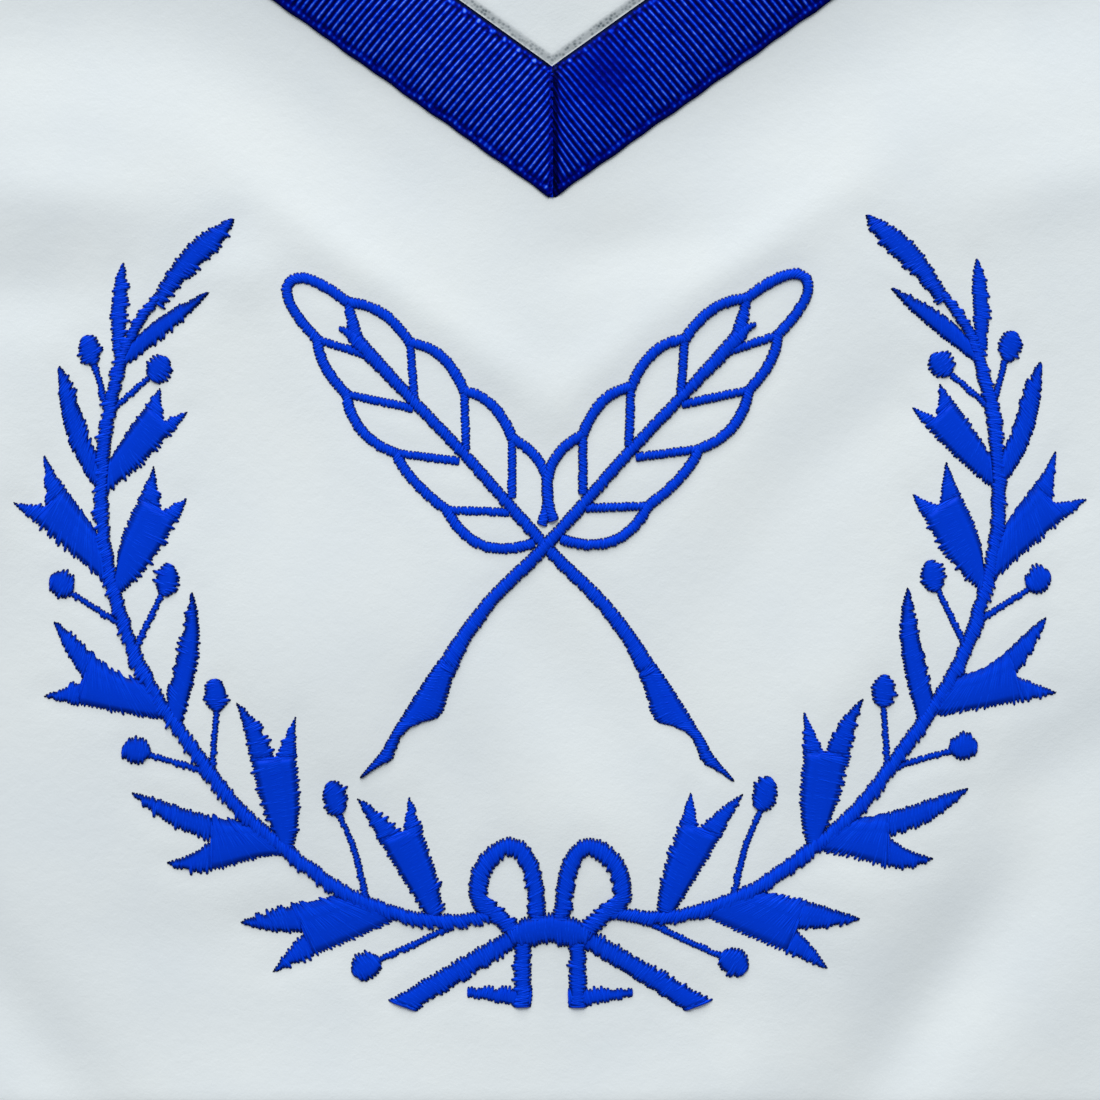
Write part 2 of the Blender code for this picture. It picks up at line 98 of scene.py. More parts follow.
def add_node(tree, kind, settings=None, inputs=None):
    """Add a node. An input that is a socket is linked, any other is set."""
    node = tree.nodes.new(kind)
    for key, value in (settings or {}).items():
        setattr(node, key, value)
    for key, value in (inputs or {}).items():
        if isinstance(value, bpy.types.NodeSocket):
            tree.links.new(value, node.inputs[key])
        else:
            node.inputs[key].default_value = value
    return node


def new_finish(name, settings):
    """A material whose shader has the given settings, with its tree and the place on the piece."""
    material = bpy.data.materials.new(name)
    material.use_nodes = True
    tree = material.node_tree
    for key, value in settings.items():
        tree.nodes["Principled BSDF"].inputs[key].default_value = value
    return material, tree, add_node(tree, "ShaderNodeTexCoord").outputs["Object"]


def show(tree, **sockets):
    """Link sockets to the shader's inputs, Base_Color to Base Color and so on."""
    for name, socket in sockets.items():
        tree.links.new(socket, tree.nodes["Principled BSDF"].inputs[name.replace("_", " ")])


def waves_apart(pitch):
    """The scale of a wave texture whose waves are a pitch in millimetres apart."""
    return math.pi / 10 / (pitch * MM)


print("white is", [round(c, 3) for c in linear("#FFFFFF")])

# %% [markdown]
# The apron's face is leathercloth: a knitted backing coated with matte white PVC. The eye sees
# a soft, even white that is a little cool, with a grain so fine that only its speckle shows.
# The grain is two layers of noise, 0.5 mm pores and 2.2 mm unevenness, used as a bump, and clouds
# of 26 mm vary the tone a little. Along the flap's ribbon the needle has pulled the coating into a
# row of small dimples. The bump sinks them, and their grey is painted shade. A mark on the mesh,
# the distance from the ribbon, places them, and patches of 7 mm make the row and its painted shade
# uneven.

# %% White leathercloth
leathercloth, tree, place = new_finish(
    "white PVC leathercloth, matte grained", {"Roughness": 0.58, "Specular IOR Level": 0.3})
pores = add_node(tree, "ShaderNodeTexNoise", inputs={
    "Vector": place, "Scale": 1 / (0.5 * MM), "Detail": 3.0, "Roughness": 0.6})
unevenness = add_node(tree, "ShaderNodeTexNoise", inputs={
    "Vector": place, "Scale": 1 / (2.2 * MM), "Detail": 2.0})
clouds = add_node(tree, "ShaderNodeTexNoise", inputs={
    "Vector": place, "Scale": 1 / (26 * MM), "Detail": 3.0})
tone = add_node(tree, "ShaderNodeValToRGB", inputs={"Fac": clouds.outputs["Fac"]})
tone.color_ramp.elements[0].position, tone.color_ramp.elements[1].position = 0.3, 0.7
tone.color_ramp.elements[0].color = linear("#E6EDEF")
tone.color_ramp.elements[1].color = linear("#EBF1F1")
from_ribbon = add_node(tree, "ShaderNodeAttribute", {"attribute_name": "from_ribbon"})
needle_row = add_node(tree, "ShaderNodeMapRange", {"interpolation_type": "SMOOTHSTEP"}, {
    "Value": from_ribbon.outputs["Fac"], "From Min": 0.0, "From Max": 0.5})
needle_end = add_node(tree, "ShaderNodeMapRange", {"interpolation_type": "SMOOTHSTEP"}, {
    "Value": from_ribbon.outputs["Fac"], "From Min": 2.1, "From Max": 1.1})
dimples = add_node(tree, "ShaderNodeTexVoronoi", inputs={
    "Vector": place, "Scale": 1 / (0.75 * MM)})
dots = add_node(tree, "ShaderNodeMapRange", inputs={
    "Value": dimples.outputs["Distance"], "From Min": 0.15, "From Max": 0.6,
    "To Min": 1.0, "To Max": 0.5})
strain = add_node(tree, "ShaderNodeTexNoise", inputs={
    "Vector": place, "Scale": 1 / (7 * MM), "Detail": 2.0})
patchy_row = add_node(tree, "ShaderNodeMapRange", inputs={
    "Value": strain.outputs["Fac"], "From Min": 0.35, "From Max": 0.6,
    "To Min": 0.7, "To Max": 1.0})
dimples_and_shade = needle_row
for share in (needle_end, patchy_row, dots):
    dimples_and_shade = add_node(tree, "ShaderNodeMath", {"operation": "MULTIPLY"}, {
        0: dimples_and_shade.outputs[0], 1: share.outputs["Result"]})
# The grey mixed in here is painted shade in the needle dimples along the flap's ribbon.
coating_with_dimple_shade = add_node(tree, "ShaderNodeMix", {"data_type": "RGBA"}, {
    0: dimples_and_shade.outputs[0], 6: tone.outputs["Color"], 7: linear("#58676E")})
relief = add_node(tree, "ShaderNodeMath", {"operation": "MULTIPLY_ADD"}, {
    0: unevenness.outputs["Fac"], 1: 1.6, 2: pores.outputs["Fac"]})
sunk = add_node(tree, "ShaderNodeMath", {"operation": "MULTIPLY_ADD"}, {
    0: dimples_and_shade.outputs[0], 1: -4.0, 2: relief.outputs[0]})
grain = add_node(tree, "ShaderNodeBump", inputs={
    "Height": sunk.outputs[0], "Strength": 0.5, "Distance": 0.05 * MM})
show(tree, Base_Color=coating_with_dimple_shade.outputs[2], Normal=grain.outputs["Normal"])
print(leathercloth.name)

# %% [markdown]
# The underside is the backing of the same cloth: a plain cotton weave with no coating. Two
# crossed waves make its threads, drawn at 1.2 mm, coarser than the real 0.4 mm, so that they
# show at all.

# %% Cotton backing
backing, tree, place = new_finish("cotton backing, woven and uncoated", {
    "Roughness": 0.9, "Specular IOR Level": 0.2, "Sheen Weight": 0.15})
weft, warp = (add_node(tree, "ShaderNodeTexWave", {"bands_direction": way}, {
    "Vector": place, "Scale": waves_apart(1.2), "Distortion": 0.6, "Detail": 1.0,
    "Detail Scale": 4.0}) for way in "XY")
crossed = add_node(tree, "ShaderNodeMath", {"operation": "MAXIMUM"}, {
    0: weft.outputs["Fac"], 1: warp.outputs["Fac"]})
weave = add_node(tree, "ShaderNodeValToRGB", inputs={"Fac": crossed.outputs[0]})
weave.color_ramp.elements[0].color = linear("#CFCEC8")
weave.color_ramp.elements[1].color = linear("#E4E3DE")
threads_bump = add_node(tree, "ShaderNodeBump", inputs={
    "Height": crossed.outputs[0], "Strength": 0.5, "Distance": 0.15 * MM})
show(tree, Base_Color=weave.outputs["Color"], Normal=threads_bump.outputs["Normal"])
print(backing.name)

# %% [markdown]
# The ribbon is grosgrain: silky warp threads packed over thick weft cords, which stand up as
# ribs across its length. The eye sees thin bright crests with almost black blue between them.
# The ribs are real geometry. A mark on the mesh, 1 on a crest and 0 in a groove, paints their light
# and shade: a painted highlight along each crest, and painted shade, almost black, in each groove,
# where so little light comes back out from between dyed threads.

# %% Royal blue grosgrain
grosgrain, tree, place = new_finish("rayon grosgrain, royal blue, woven in ribs", {
    "Roughness": 0.42, "Specular IOR Level": 0.08, "Specular Tint": linear("#5F8BFF")})
painted_shine = add_node(tree, "ShaderNodeAttribute", {"attribute_name": "painted_shine"})
slub = add_node(tree, "ShaderNodeTexNoise", inputs={
    "Vector": place, "Scale": 1 / (1.1 * MM), "Detail": 3.0, "Roughness": 0.65})
lively = add_node(tree, "ShaderNodeMapRange", inputs={
    "Value": slub.outputs["Fac"], "From Min": 0.3, "From Max": 0.7,
    "To Min": 0.62, "To Max": 1.25})
lit = add_node(tree, "ShaderNodeMath", {"operation": "MULTIPLY"}, {
    0: painted_shine.outputs["Fac"], 1: lively.outputs["Result"]})
# This ramp paints the ribbon's light and shade: near black for the painted shade in the grooves,
# light blue for the painted highlight on the crests.
rib_light_and_shade = add_node(tree, "ShaderNodeValToRGB", inputs={"Fac": lit.outputs[0]})
rib_light_and_shade.color_ramp.elements[0].color = linear("#000016")
rib_light_and_shade.color_ramp.elements[1].color = linear("#7298FF")
for share, shade in ((0.08, "#00023C"), (0.32, "#000C9C"), (0.62, "#0640F2"), (0.82, "#3070FF")):
    rib_light_and_shade.color_ramp.elements.new(share).color = linear(shade)
fibres = add_node(tree, "ShaderNodeBump", inputs={
    "Height": slub.outputs["Fac"], "Strength": 0.3, "Distance": 0.05 * MM})
show(tree, Base_Color=rib_light_and_shade.outputs["Color"], Normal=fibres.outputs["Normal"])
print(grosgrain.name)

# %% [markdown]
# The emblem is machine embroidery in rayon thread. Rayon is glossy, but the gloss comes partly from
# inside the dyed fibre, so the highlight is blue and not white. That is why the specular tint is
# blue. One mark on the mesh paints shade, near black, where a thread dives into its needle hole and
# along the edges of its pad. Another gives the tone each length of thread has.

# %% Blue embroidery thread
rayon, tree, place = new_finish("rayon embroidery thread, royal blue", {
    "Roughness": 0.38, "Specular IOR Level": 0.1, "Specular Tint": linear("#6C8CFF")})
hole_shade = add_node(tree, "ShaderNodeAttribute", {"attribute_name": "hole_shade"})
tone = add_node(tree, "ShaderNodeAttribute", {"attribute_name": "tone"})
strands = add_node(tree, "ShaderNodeTexNoise", inputs={
    "Vector": place, "Scale": 1 / (0.35 * MM), "Detail": 2.0})
bright = add_node(tree, "ShaderNodeMix", {"data_type": "RGBA"}, {
    0: tone.outputs["Fac"], 6: linear("#0034D0"), 7: linear("#084CF4")})
# The near black mixed in here is painted shade where threads dive into their needle holes.
sunk = add_node(tree, "ShaderNodeMix", {"data_type": "RGBA"}, {
    0: hole_shade.outputs["Fac"], 6: bright.outputs[2], 7: linear("#000118")})
twist = add_node(tree, "ShaderNodeBump", inputs={
    "Height": strands.outputs["Fac"], "Strength": 0.25, "Distance": 0.06 * MM})
show(tree, Base_Color=sunk.outputs[2], Normal=twist.outputs["Normal"])
print(rayon.name)

# %% [markdown]
# The belt is white polypropylene webbing, coarse and a little shiny, woven with a pick each
# 1.7 mm along it and an end each 1.1 mm across it. The clasp is steel plated with nickel, whose
# soft polish blurs what it mirrors. Neither shows in the photograph, where the apron covers
# them, but both are seen from the sides.

# %% Webbing and nickel
webbing, tree, place = new_finish("polypropylene webbing, white, woven", {
    "Roughness": 0.6, "Specular IOR Level": 0.4})
picks, ends = (add_node(tree, "ShaderNodeTexWave", {"bands_direction": way}, {
    "Vector": place, "Scale": waves_apart(pitch), "Distortion": 0.4, "Detail": 1.0})
    for way, pitch in (("X", 1.7), ("Y", 1.1)))
woven = add_node(tree, "ShaderNodeMath", {"operation": "MULTIPLY"}, {
    0: picks.outputs["Fac"], 1: ends.outputs["Fac"]})
yarn = add_node(tree, "ShaderNodeValToRGB", inputs={"Fac": woven.outputs[0]})
yarn.color_ramp.elements[0].color = linear("#C9CCCE")
yarn.color_ramp.elements[1].color = linear("#F0F1F2")
yarn_bump = add_node(tree, "ShaderNodeBump", inputs={
    "Height": woven.outputs[0], "Strength": 0.6, "Distance": 0.25 * MM})
show(tree, Base_Color=yarn.outputs["Color"], Normal=yarn_bump.outputs["Normal"])

nickel, tree, place = new_finish("nickel plated steel, soft polish", {
    "Base Color": linear("#C6C3BC"), "Metallic": 1.0, "Roughness": 0.26})
haze = add_node(tree, "ShaderNodeTexNoise", inputs={
    "Vector": place, "Scale": 1 / (6 * MM), "Detail": 4.0})
polish = add_node(tree, "ShaderNodeMapRange", inputs={
    "Value": haze.outputs["Fac"], "To Min": 0.18, "To Max": 0.36})
show(tree, Roughness=polish.outputs["Result"])
print(webbing.name, "and", nickel.name)

# %% [markdown]
# How the cloth lies decides most of what is seen of it. It is flat under the border ribbon, plump
# inside it and lifted over the belt behind the waist. Long soft folds cross it, each a ridge or a
# valley with a centre, a direction, two half widths and a height. A sum of such rows is easy to
# place and stays smooth.

# %% The lie of the cloth
PLUMP, PLUMP_MARGIN, WAIST_MARGIN = 2.0, 8.6, (3.0, 36.0)
BELT_LIFT, BELT_RISE_START, BELT_RISE_END = 3.6, 90.0, 146.0
FLAP_RIDE_START, FLAP_RIDE_END = 128.0, 180.0
Fold = namedtuple("Fold", "x y angle length width height")
FOLDS = (
    Fold(0, -60, 0, 100, 60, 0.6),
    Fold(-47, 50, -34, 46, 17, -1.9),
    Fold(48, 54, 33, 40, 18, -1.8),
    Fold(-104, 66, -5, 34, 18, -1.6),
    Fold(104, 74, 8, 34, 21, -1.9),
    Fold(-38, 18, -36, 26, 5, 0.5),
    Fold(-9, -2, -40, 14, 6, 0.5),
    Fold(9, -2, 42, 14, 6, 0.45),
    Fold(40, 21, 35, 26, 5, 0.45),
    Fold(-36, 57, -35, 26, 5, -0.35),
    Fold(15, 23, 14, 16, 7, -0.55),
    Fold(-98, 33, -6, 24, 7, 0.5),
    Fold(-106, 14, 0, 18, 9, -0.8),
    Fold(100, 35, 12, 22, 8, 0.5),
    Fold(-61, 17, 0, 7, 6, 0.4),
    Fold(-114, -24, 90, 18, 8, 0.7),
    Fold(-48, -62, -38, 34, 28, 1.7),
    Fold(-22, -78, -50, 26, 10, -0.5),
    Fold(8, -96, -50, 24, 16, 1.2),
    Fold(-2, -58, -55, 24, 9, -0.4),
    Fold(62, -13, 44, 22, 9, -0.6),
    Fold(40, -38, 62, 22, 10, -0.5),
    Fold(56, -68, 60, 26, 12, 0.9),
    Fold(112, -52, 90, 26, 9, 0.8),
    Fold(78, -126, 58, 36, 10, -1.9),
    Fold(60, -108, 50, 24, 11, 0.6),
    Fold(101, -81, 34, 22, 9, -0.7),
    Fold(106, -122, 60, 26, 10, 0.5),
    Fold(-104, -136, -54, 40, 9, -1.2),
    Fold(-48, -156, 0, 44, 16, 1.2),
    Fold(24, -150, 20, 26, 12, 0.8),
    Fold(36, -130, 84, 14, 6, -0.4),
    Fold(-60, -116, 0, 34, 8, -0.3),
)


def smooth(low, high, value):
    """0 below low, 1 above high, with a soft start and end between them."""
    t = np.clip((value - low) / (high - low), 0.0, 1.0)
    return t * t * (3 - 2 * t)


def folded(x, y):
    """The height of all folds together."""
    height = np.zeros_like(x)
    for fold in FOLDS:
        turn = math.radians(fold.angle)
        along = (x - fold.x) * math.cos(turn) + (y - fold.y) * math.sin(turn)
        across = (y - fold.y) * math.cos(turn) - (x - fold.x) * math.sin(turn)
        reach = (along / fold.length) ** 2 + (across / fold.width) ** 2
        height = height + fold.height * np.exp(-reach)
    return height


def drape(x, y):
    """The height of the body's underside over the table."""
    hem = np.minimum(SIDE - abs(x), TOP + y) - RIBBON_WIDTH
    loose = smooth(0.0, PLUMP_MARGIN, hem) * smooth(*WAIST_MARGIN, TOP - y)
    height = (PLUMP + folded(x, y)) * loose
    return np.maximum(height, 0.0) + BELT_LIFT * smooth(BELT_RISE_START, BELT_RISE_END, y)


under_emblem = drape(np.array(0.0), np.array(-50.0))
print("cloth under the emblem lies", round(float(under_emblem), 2), "mm up")

# %% [markdown]
# Meshes are made from grids and tubes of points. A mesh that stands for a piece of the model
# rides on its body. Marks are values for each point that a finish reads.

# %% Helpers for meshes
HEM_LINES, CLOSEST_LINES = (0.0, 0.3, 0.8, 1.5), 0.2


def make_piece(name, points, faces, finishes, of_face=None, marks=None, sharp=True):
    """A smooth piece from points in millimetres that rides on the apron."""
    mesh = bpy.data.meshes.new(name)
    mesh.from_pydata((np.asarray(points) * MM).tolist(), [], faces)
    for finish in finishes:
        mesh.materials.append(finish)
    mesh.polygons.foreach_set("use_smooth", [True] * len(mesh.polygons))
    if of_face is not None:
        mesh.polygons.foreach_set("material_index", of_face)
    for mark, values in (marks or {}).items():
        mesh.attributes.new(mark, "FLOAT", "POINT").data.foreach_set("value", np.ravel(values))
    if sharp:
        mesh.set_sharp_from_angle(angle=math.radians(60))
    piece = bpy.data.objects.new(name, mesh)
    bpy.context.scene.collection.objects.link(piece)
    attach(piece, "root")
    print(name, "has", sum(len(f) - 2 for f in faces), "triangles")
    return piece


def closed_sheet(upper, lower):
    """Points and faces of a closed sheet between two grids, and which faces are underneath."""
    rows, columns = upper.shape[:2]
    index = np.arange(rows * columns).reshape(rows, columns)
    cells = np.stack([index[:-1, :-1], index[1:, :-1], index[1:, 1:], index[:-1, 1:]], axis=-1)
    cells = cells.reshape(-1, 4)
    ring = np.concatenate([index[:, 0], index[-1, 1:], index[-2::-1, -1], index[0, -2:0:-1]])
    after = np.roll(ring, -1)
    below = rows * columns
    walls = np.stack([ring, ring + below, after + below, after], axis=-1)
    faces = np.concatenate([cells, cells[:, ::-1] + below, walls]).tolist()
    underneath = [0] * len(cells) + [1] * len(cells) + [0] * len(walls)
    return np.concatenate([upper.reshape(-1, 3), lower.reshape(-1, 3)]), faces, underneath


def closed_tubes(rings):
    """Points and faces of capped tubes. rings is tube by ring by point round it by x, y, z."""
    index = np.arange(rings[..., 0].size).reshape(rings.shape[:3])
    near, far = index[:, :-1], index[:, 1:]
    walls = np.stack([near, np.roll(near, -1, axis=2), np.roll(far, -1, axis=2), far], axis=-1)
    caps = np.concatenate([index[:, 0, ::-1], index[:, -1]])
    return rings.reshape(-1, 3), walls.reshape(-1, 4).tolist() + caps.tolist()


def graded(limit, low, high, fine, coarse):
    """Grid lines from -limit to limit, close together between low and high and near the hem."""
    near_hem = limit - np.array(HEM_LINES)
    lines = np.concatenate([
        np.arange(low, high, fine), np.arange(-limit, low, coarse), np.arange(high, limit, coarse),
        near_hem, -near_hem])
    lines = np.unique(np.round(lines, 3))
    return lines[np.concatenate([[True], np.diff(lines) > CLOSEST_LINES])]


small = np.zeros((3, 3, 3))
print("a closed sheet of 3 by 3 points has", len(closed_sheet(small, small)[1]), "faces")

# %% [markdown]
# The emblem is drawn before the cloth, because its threads pull the cloth down. One laurel
# branch is a table of leaves, berries and a stem, and one quill is a table of joints. Each
# stands for a pair. A leaf's edge a is on the left hand from root to tip and edge b on the
# right. Swells are how far an edge bows outwards near its start and near its end, going round
# from root a to root b. A forked leaf has a notch between two tips.

# %% The emblem's tables
EMBLEM_X, EMBLEM_Y, WREATH_SKEW, SECOND_QUILL_SHIFT = -0.4, -50.4, 0.4, (-1.0, 0.8)
Leaf = namedtuple("Leaf", "name root_a tip_a notch tip_b root_b swell_a swell_b prongs")
LEAVES = (
    Leaf("crown", (-79.8, 63.0), (-63.6, 78.6), None, None, (-77.6, 61.0),
         (2.6, 4.8), (3.3, -1.9), None),
    Leaf("narrow_out", (-87.2, 51.0), (-85.4, 69.8), None, None, (-85.0, 51.0),
         (1.6, 3.2), (1.4, -0.4), None),
    Leaf("narrow_in", (-83.2, 55.0), (-68.8, 64.0), None, None, (-86.0, 49.0),
         (1.6, 1.6), (1.4, 0.5), None),
    Leaf("spear_out", (-89.8, 23.8), (-98.0, 49.2), None, None, (-89.4, 29.0),
         (3.9, 3.9), (2.0, -1.7), None),
    Leaf("fork_in_1", (-88.0, 31.2), (-78.0, 44.6), (-77.6, 38.6), (-73.2, 40.2), (-88.8, 24.2),
         (0.5, 0.7), (1.5, 1.1), (0.0, 0.0)),
    Leaf("fork_out_1", (-89.2, 6.2), (-106.8, 22.2), (-100.6, 21.4), (-101.2, 31.2), (-90.0, 14.6),
         (-0.2, 0.5), (-1.0, 0.9), (0.0, 0.0)),
    Leaf("fork_in_2", (-86.8, 8.6), (-79.2, 29.0), (-77.8, 20.6), (-73.2, 22.8), (-87.2, 3.0),
         (2.9, 0.2), (1.9, 2.9), (0.0, 0.0)),
    Leaf("spear_in", (-77.0, -18.4), (-71.6, 3.8), None, None, (-74.0, -23.8),
         (0.0, 0.3), (4.3, 1.7), None),
    Leaf("fork_out_2", (-76.0, -21.4), (-100.8, -16.2), (-93.2, -13.2), (-99.0, -2.0),
         (-80.8, -13.0), (0.4, 1.2), (0.1, -4.9), (0.0, 0.8)),
    Leaf("fork_in_3", (-54.2, -46.0), (-62.2, -18.2), (-55.0, -28.8), (-51.0, -21.0),
         (-52.0, -48.4), (2.6, -0.1), (-0.4, 3.7), (1.5, 0.0)),
    Leaf("fork_out_3", (-51.6, -48.8), (-76.2, -49.4), (-67.6, -45.2), (-83.2, -36.0),
         (-59.6, -41.8), (-2.3, 6.3), (0.4, -2.0), (-0.8, 2.2)),
    Leaf("fork_in_4", (-24.8, -60.8), (-38.0, -37.2), (-29.6, -43.8), (-28.2, -37.2),
         (-21.4, -60.8), (0.4, 1.1), (0.3, 2.3), (0.5, 0.0)),
    Leaf("fork_out_4", (-30.0, -61.0), (-55.2, -71.2), (-49.2, -63.8), (-61.4, -61.8),
         (-41.0, -56.4), (0.6, 0.7), (1.0, 0.8), (0.5, 1.1)),
)
STEM = (
    (-78.8, 63.4), (-84.2, 55.4), (-87.0, 46.6), (-89.0, 37.2), (-89.8, 26.6), (-89.6, 16.2),
    (-87.2, 4.0), (-83.0, -8.4), (-78.0, -17.6), (-70.2, -28.8), (-61.8, -39.6), (-52.4, -47.8),
    (-40.8, -56.0), (-29.4, -60.4), (-22.0, -61.6), (-15.8, -61.1), (-12.6, -60.4),
)
STEM_WIDTHS, STALK_WIDTHS = (1.6, 2.7, 2.7, 2.7, 2.7, 2.7, 2.4), (1.0, 1.2)
Berry = namedtuple("Berry", "centre width height stalk")
BERRIES = (
    Berry((-92.2, 52.8), 4.6, 6.0, ((-91.4, 50.6), (-88.8, 41.2))),
    Berry((-78.4, 49.2), 5.2, 5.2, ((-80.0, 47.6), (-87.6, 41.0))),
    Berry((-97.8, 6.0), 4.8, 5.8, ((-96.6, 4.6), (-84.8, -2.8))),
    Berry((-76.6, 6.8), 5.0, 6.2, ((-77.4, 4.6), (-83.4, -7.8))),
    Berry((-66.8, -16.2), 5.0, 6.2, ((-66.7, -18.4), (-67.6, -31.8))),
    Berry((-82.8, -27.4), 5.4, 5.6, ((-81.0, -28.0), (-69.2, -31.4))),
    Berry((-43.0, -36.8), 5.0, 7.0, ((-42.4, -39.6), (-39.2, -47.2), (-36.8, -57.0))),
    Berry((-36.8, -70.6), 6.0, 5.6, ((-34.6, -69.5), (-26.4, -65.8), (-19.6, -62.4))),
)
UPPER_JOINTS = ((-40.4, 62.0), (-28.0, 53.8), (-17.2, 44.2), (-7.6, 34.8), (-1.6, 17.6))
UPPER_BENDS = ((-33.0, 61.7), (-21.0, 53.4), (-10.8, 43.3), (2.6, 29.4))
UPPER_BARB_ENDS = ((-38.8, 54.4), (-27.2, 42.6), (-16.8, 32.6), (-7.6, 23.0))
LOWER_JOINTS = ((-46.6, 54.6), (-40.8, 43.6), (-30.8, 31.8), (-20.6, 20.4), (-3.4, 13.8))
LOWER_BENDS = ((-46.5, 49.3), (-39.4, 34.7), (-28.7, 26.3), (-15.2, 9.7))
LOWER_BARB_ENDS = ((-36.8, 51.4), (-27.6, 40.8), (-18.4, 30.2), (-8.4, 20.0))
TIP_BENDS, TIP_END = ((-50.0, 69.4), (-54.2, 62.4)), (-52.4, 65.8)
RIM_WIDTHS, BARB_WIDTHS, SPUR_WIDTHS = (1.9, 1.9), (1.45, 1.6), (0.6, 2.8)
FIRST_BARB_WIDTHS = (1.5, 2.2, 3.2)
SPUR = ((-42.2, 56.9), (-40.0, 55.8), (-38.0, 53.4))
SHAFT = ((-38.8, 54.4), (-28.8, 43.8), (-17.2, 31.6), (-8.0, 21.2),
         (1.0, 11.2), (10.1, 2.2), (16.2, -5.8), (19.8, -12.2))
SHAFT_WIDTHS = (3.0, 2.1, 2.1, 2.2, 2.4, 2.6, 3.0, 3.9)
NIB_EDGES = (
    ((17.5, -10.4), (18.9, -15.8), (20.8, -21.6), (22.2, -22.2), (24.6, -22.7), (27.0, -23.7),
     (28.9, -25.7), (29.9, -28.2), (30.3, -30.1), (32.0, -30.9), (34.2, -32.0), (36.7, -33.9)),
    ((21.2, -10.4), (24.3, -15.0), (26.7, -18.6), (29.3, -22.9), (30.9, -25.6), (32.3, -28.2),
     (34.0, -30.4), (36.8, -33.7)),
)
BOW_LOOP = (
    (5.8, -65.0), (8.4, -62.8), (11.6, -60.0), (14.0, -58.2), (14.5, -54.6), (13.3, -50.8),
    (10.5, -47.8), (7.8, -46.9), (5.4, -48.2), (3.8, -51.4), (2.9, -55.6), (2.3, -61.5),
)
BOW_LOOP_WIDTHS = (3.2, 3.4, 3.4, 3.2)
BOW_LEG_EDGES = (((3.8, -64.4), (3.8, -79.0)), ((7.2, -64.4), (7.2, -79.0)))
BOW_FOOT_EDGES = (((3.8, -75.4), (16.3, -75.4)), ((3.8, -79.0), (7.0, -79.0), (16.3, -77.1)))
BOW_TAIL_EDGES = (
    ((6.6, -62.8), (17.0, -68.8), (32.2, -77.8)), ((6.0, -66.8), (13.6, -71.4), (27.0, -79.7)))
BOW_BAR_EDGES = (
    ((-8.6, -63.6), (-5.0, -61.2), (0.0, -60.4), (5.0, -61.2), (8.6, -63.6)),
    ((-7.6, -65.6), (-7.0, -66.8), (-3.8, -67.0), (0.0, -66.0), (3.8, -67.0), (7.0, -66.8),
     (7.6, -65.6)),
)
print(len(LEAVES), "leaves and", len(BERRIES), "berries on each branch")

# %% [markdown]
# Satin stitch fills a narrow shape by running thread to and fro between its two edges. So each
# part of the emblem becomes a column: a pair of edges, and how far it lies above its
# neighbours. Curves are drawn through the tables' points first.

# %% Curves and columns
Column = namedtuple("Column", "edge_a edge_b lift lean")
CURVE_STEPS, EDGE_STEPS = 8, 24


def through(points):
    """A smooth curve through the points."""
    ends = np.array(points, float)
    ends = np.concatenate([[2 * ends[0] - ends[1]], ends, [2 * ends[-1] - ends[-2]]])
    t = np.linspace(0, 1, CURVE_STEPS, endpoint=False)[:, None]
    pieces = [0.5 * (2 * b + (c - a) * t + (2 * a - 5 * b + 4 * c - d) * t ** 2
                     + (3 * b - a - 3 * c + d) * t ** 3)
              for a, b, c, d in zip(ends, ends[1:], ends[2:], ends[3:])]
    return np.concatenate(pieces + [ends[-2:-1]])


def bowed(start, end, swell):
    """An edge from start to end that swells to its left near each end by the given amounts."""
    start, end = np.array(start), np.array(end)
    chord = end - start
    outward = np.array([-chord[1], chord[0]]) / np.hypot(*chord)
    t = np.linspace(0, 1, EDGE_STEPS + 1)[:, None]
    offset = 3 * (1 - t) ** 2 * t * swell[0] + 3 * (1 - t) * t ** 2 * swell[1]
    return start + chord * t + outward * offset


def arc(start, bend, end):
    """A curve from start to end that is drawn towards the bend point."""
    start, bend, end = np.array(start), np.array(bend), np.array(end)
    t = np.linspace(0, 1, EDGE_STEPS + 1)[:, None]
    return start * (1 - t) ** 2 + bend * 2 * t * (1 - t) + end * t ** 2


def band(path, widths, lift, lean=0.5):
    """A column along a path, its widths spread evenly from end to end."""
    path = np.array(path, float)
    ahead = np.gradient(path, axis=0)
    side = np.stack([-ahead[:, 1], ahead[:, 0]], axis=-1) / np.hypot(*ahead.T)[:, None]
    share = np.linspace(0, len(widths) - 1, len(path))
    half = np.interp(share, range(len(widths)), widths)[:, None] / 2
    return Column(path + side * half, path - side * half, lift, lean)


def points_at(edge, shares):
    """The points of an edge at shares of its length."""
    edge = np.asarray(edge, float)
    steps = np.hypot(*np.diff(edge, axis=0).T)
    gone = np.concatenate([[0.0], np.cumsum(steps)]) / max(steps.sum(), 1e-9)
    return np.stack([np.interp(shares, gone, edge[:, k]) for k in (0, 1)], axis=-1)


def part_of(edge, start, end):
    """The part of an edge between two shares of its length."""
    return points_at(edge, np.linspace(start, end, EDGE_STEPS + 1))


wave = band(through(((0, 0), (10, 4), (20, 0))), (2.0, 2.0), 0.0)
print("a column between edges of", len(wave.edge_a), "points")

# %% [markdown]
# A forked leaf is sewn as one column up to the notch and then as one column for each prong.
# The edges are split where they are level with the notch along the leaf. A berry is a short
# column along its stalk's direction with round edges. A lift raises what is sewn over its
# neighbours, as the stem is sewn over the leaves.

# %% Columns of a laurel branch
TIP_REACH, BERRY_END = 0.6, 0.12
LEAF_LIFT, BERRY_LIFT, STEM_LIFT = 0.05, 0.1, 0.22


def reaching(leaf):
    """The leaf with its tips drawn out as far as their last thread goes."""
    tips = {}
    for name, root in (("tip_a", leaf.root_a), ("tip_b", leaf.root_b)):
        tip = getattr(leaf, name)
        if tip:
            way = np.array(tip) - (leaf.notch or root)
            tips[name] = tuple(tip + way / np.hypot(*way) * TIP_REACH)
    return leaf._replace(**tips)


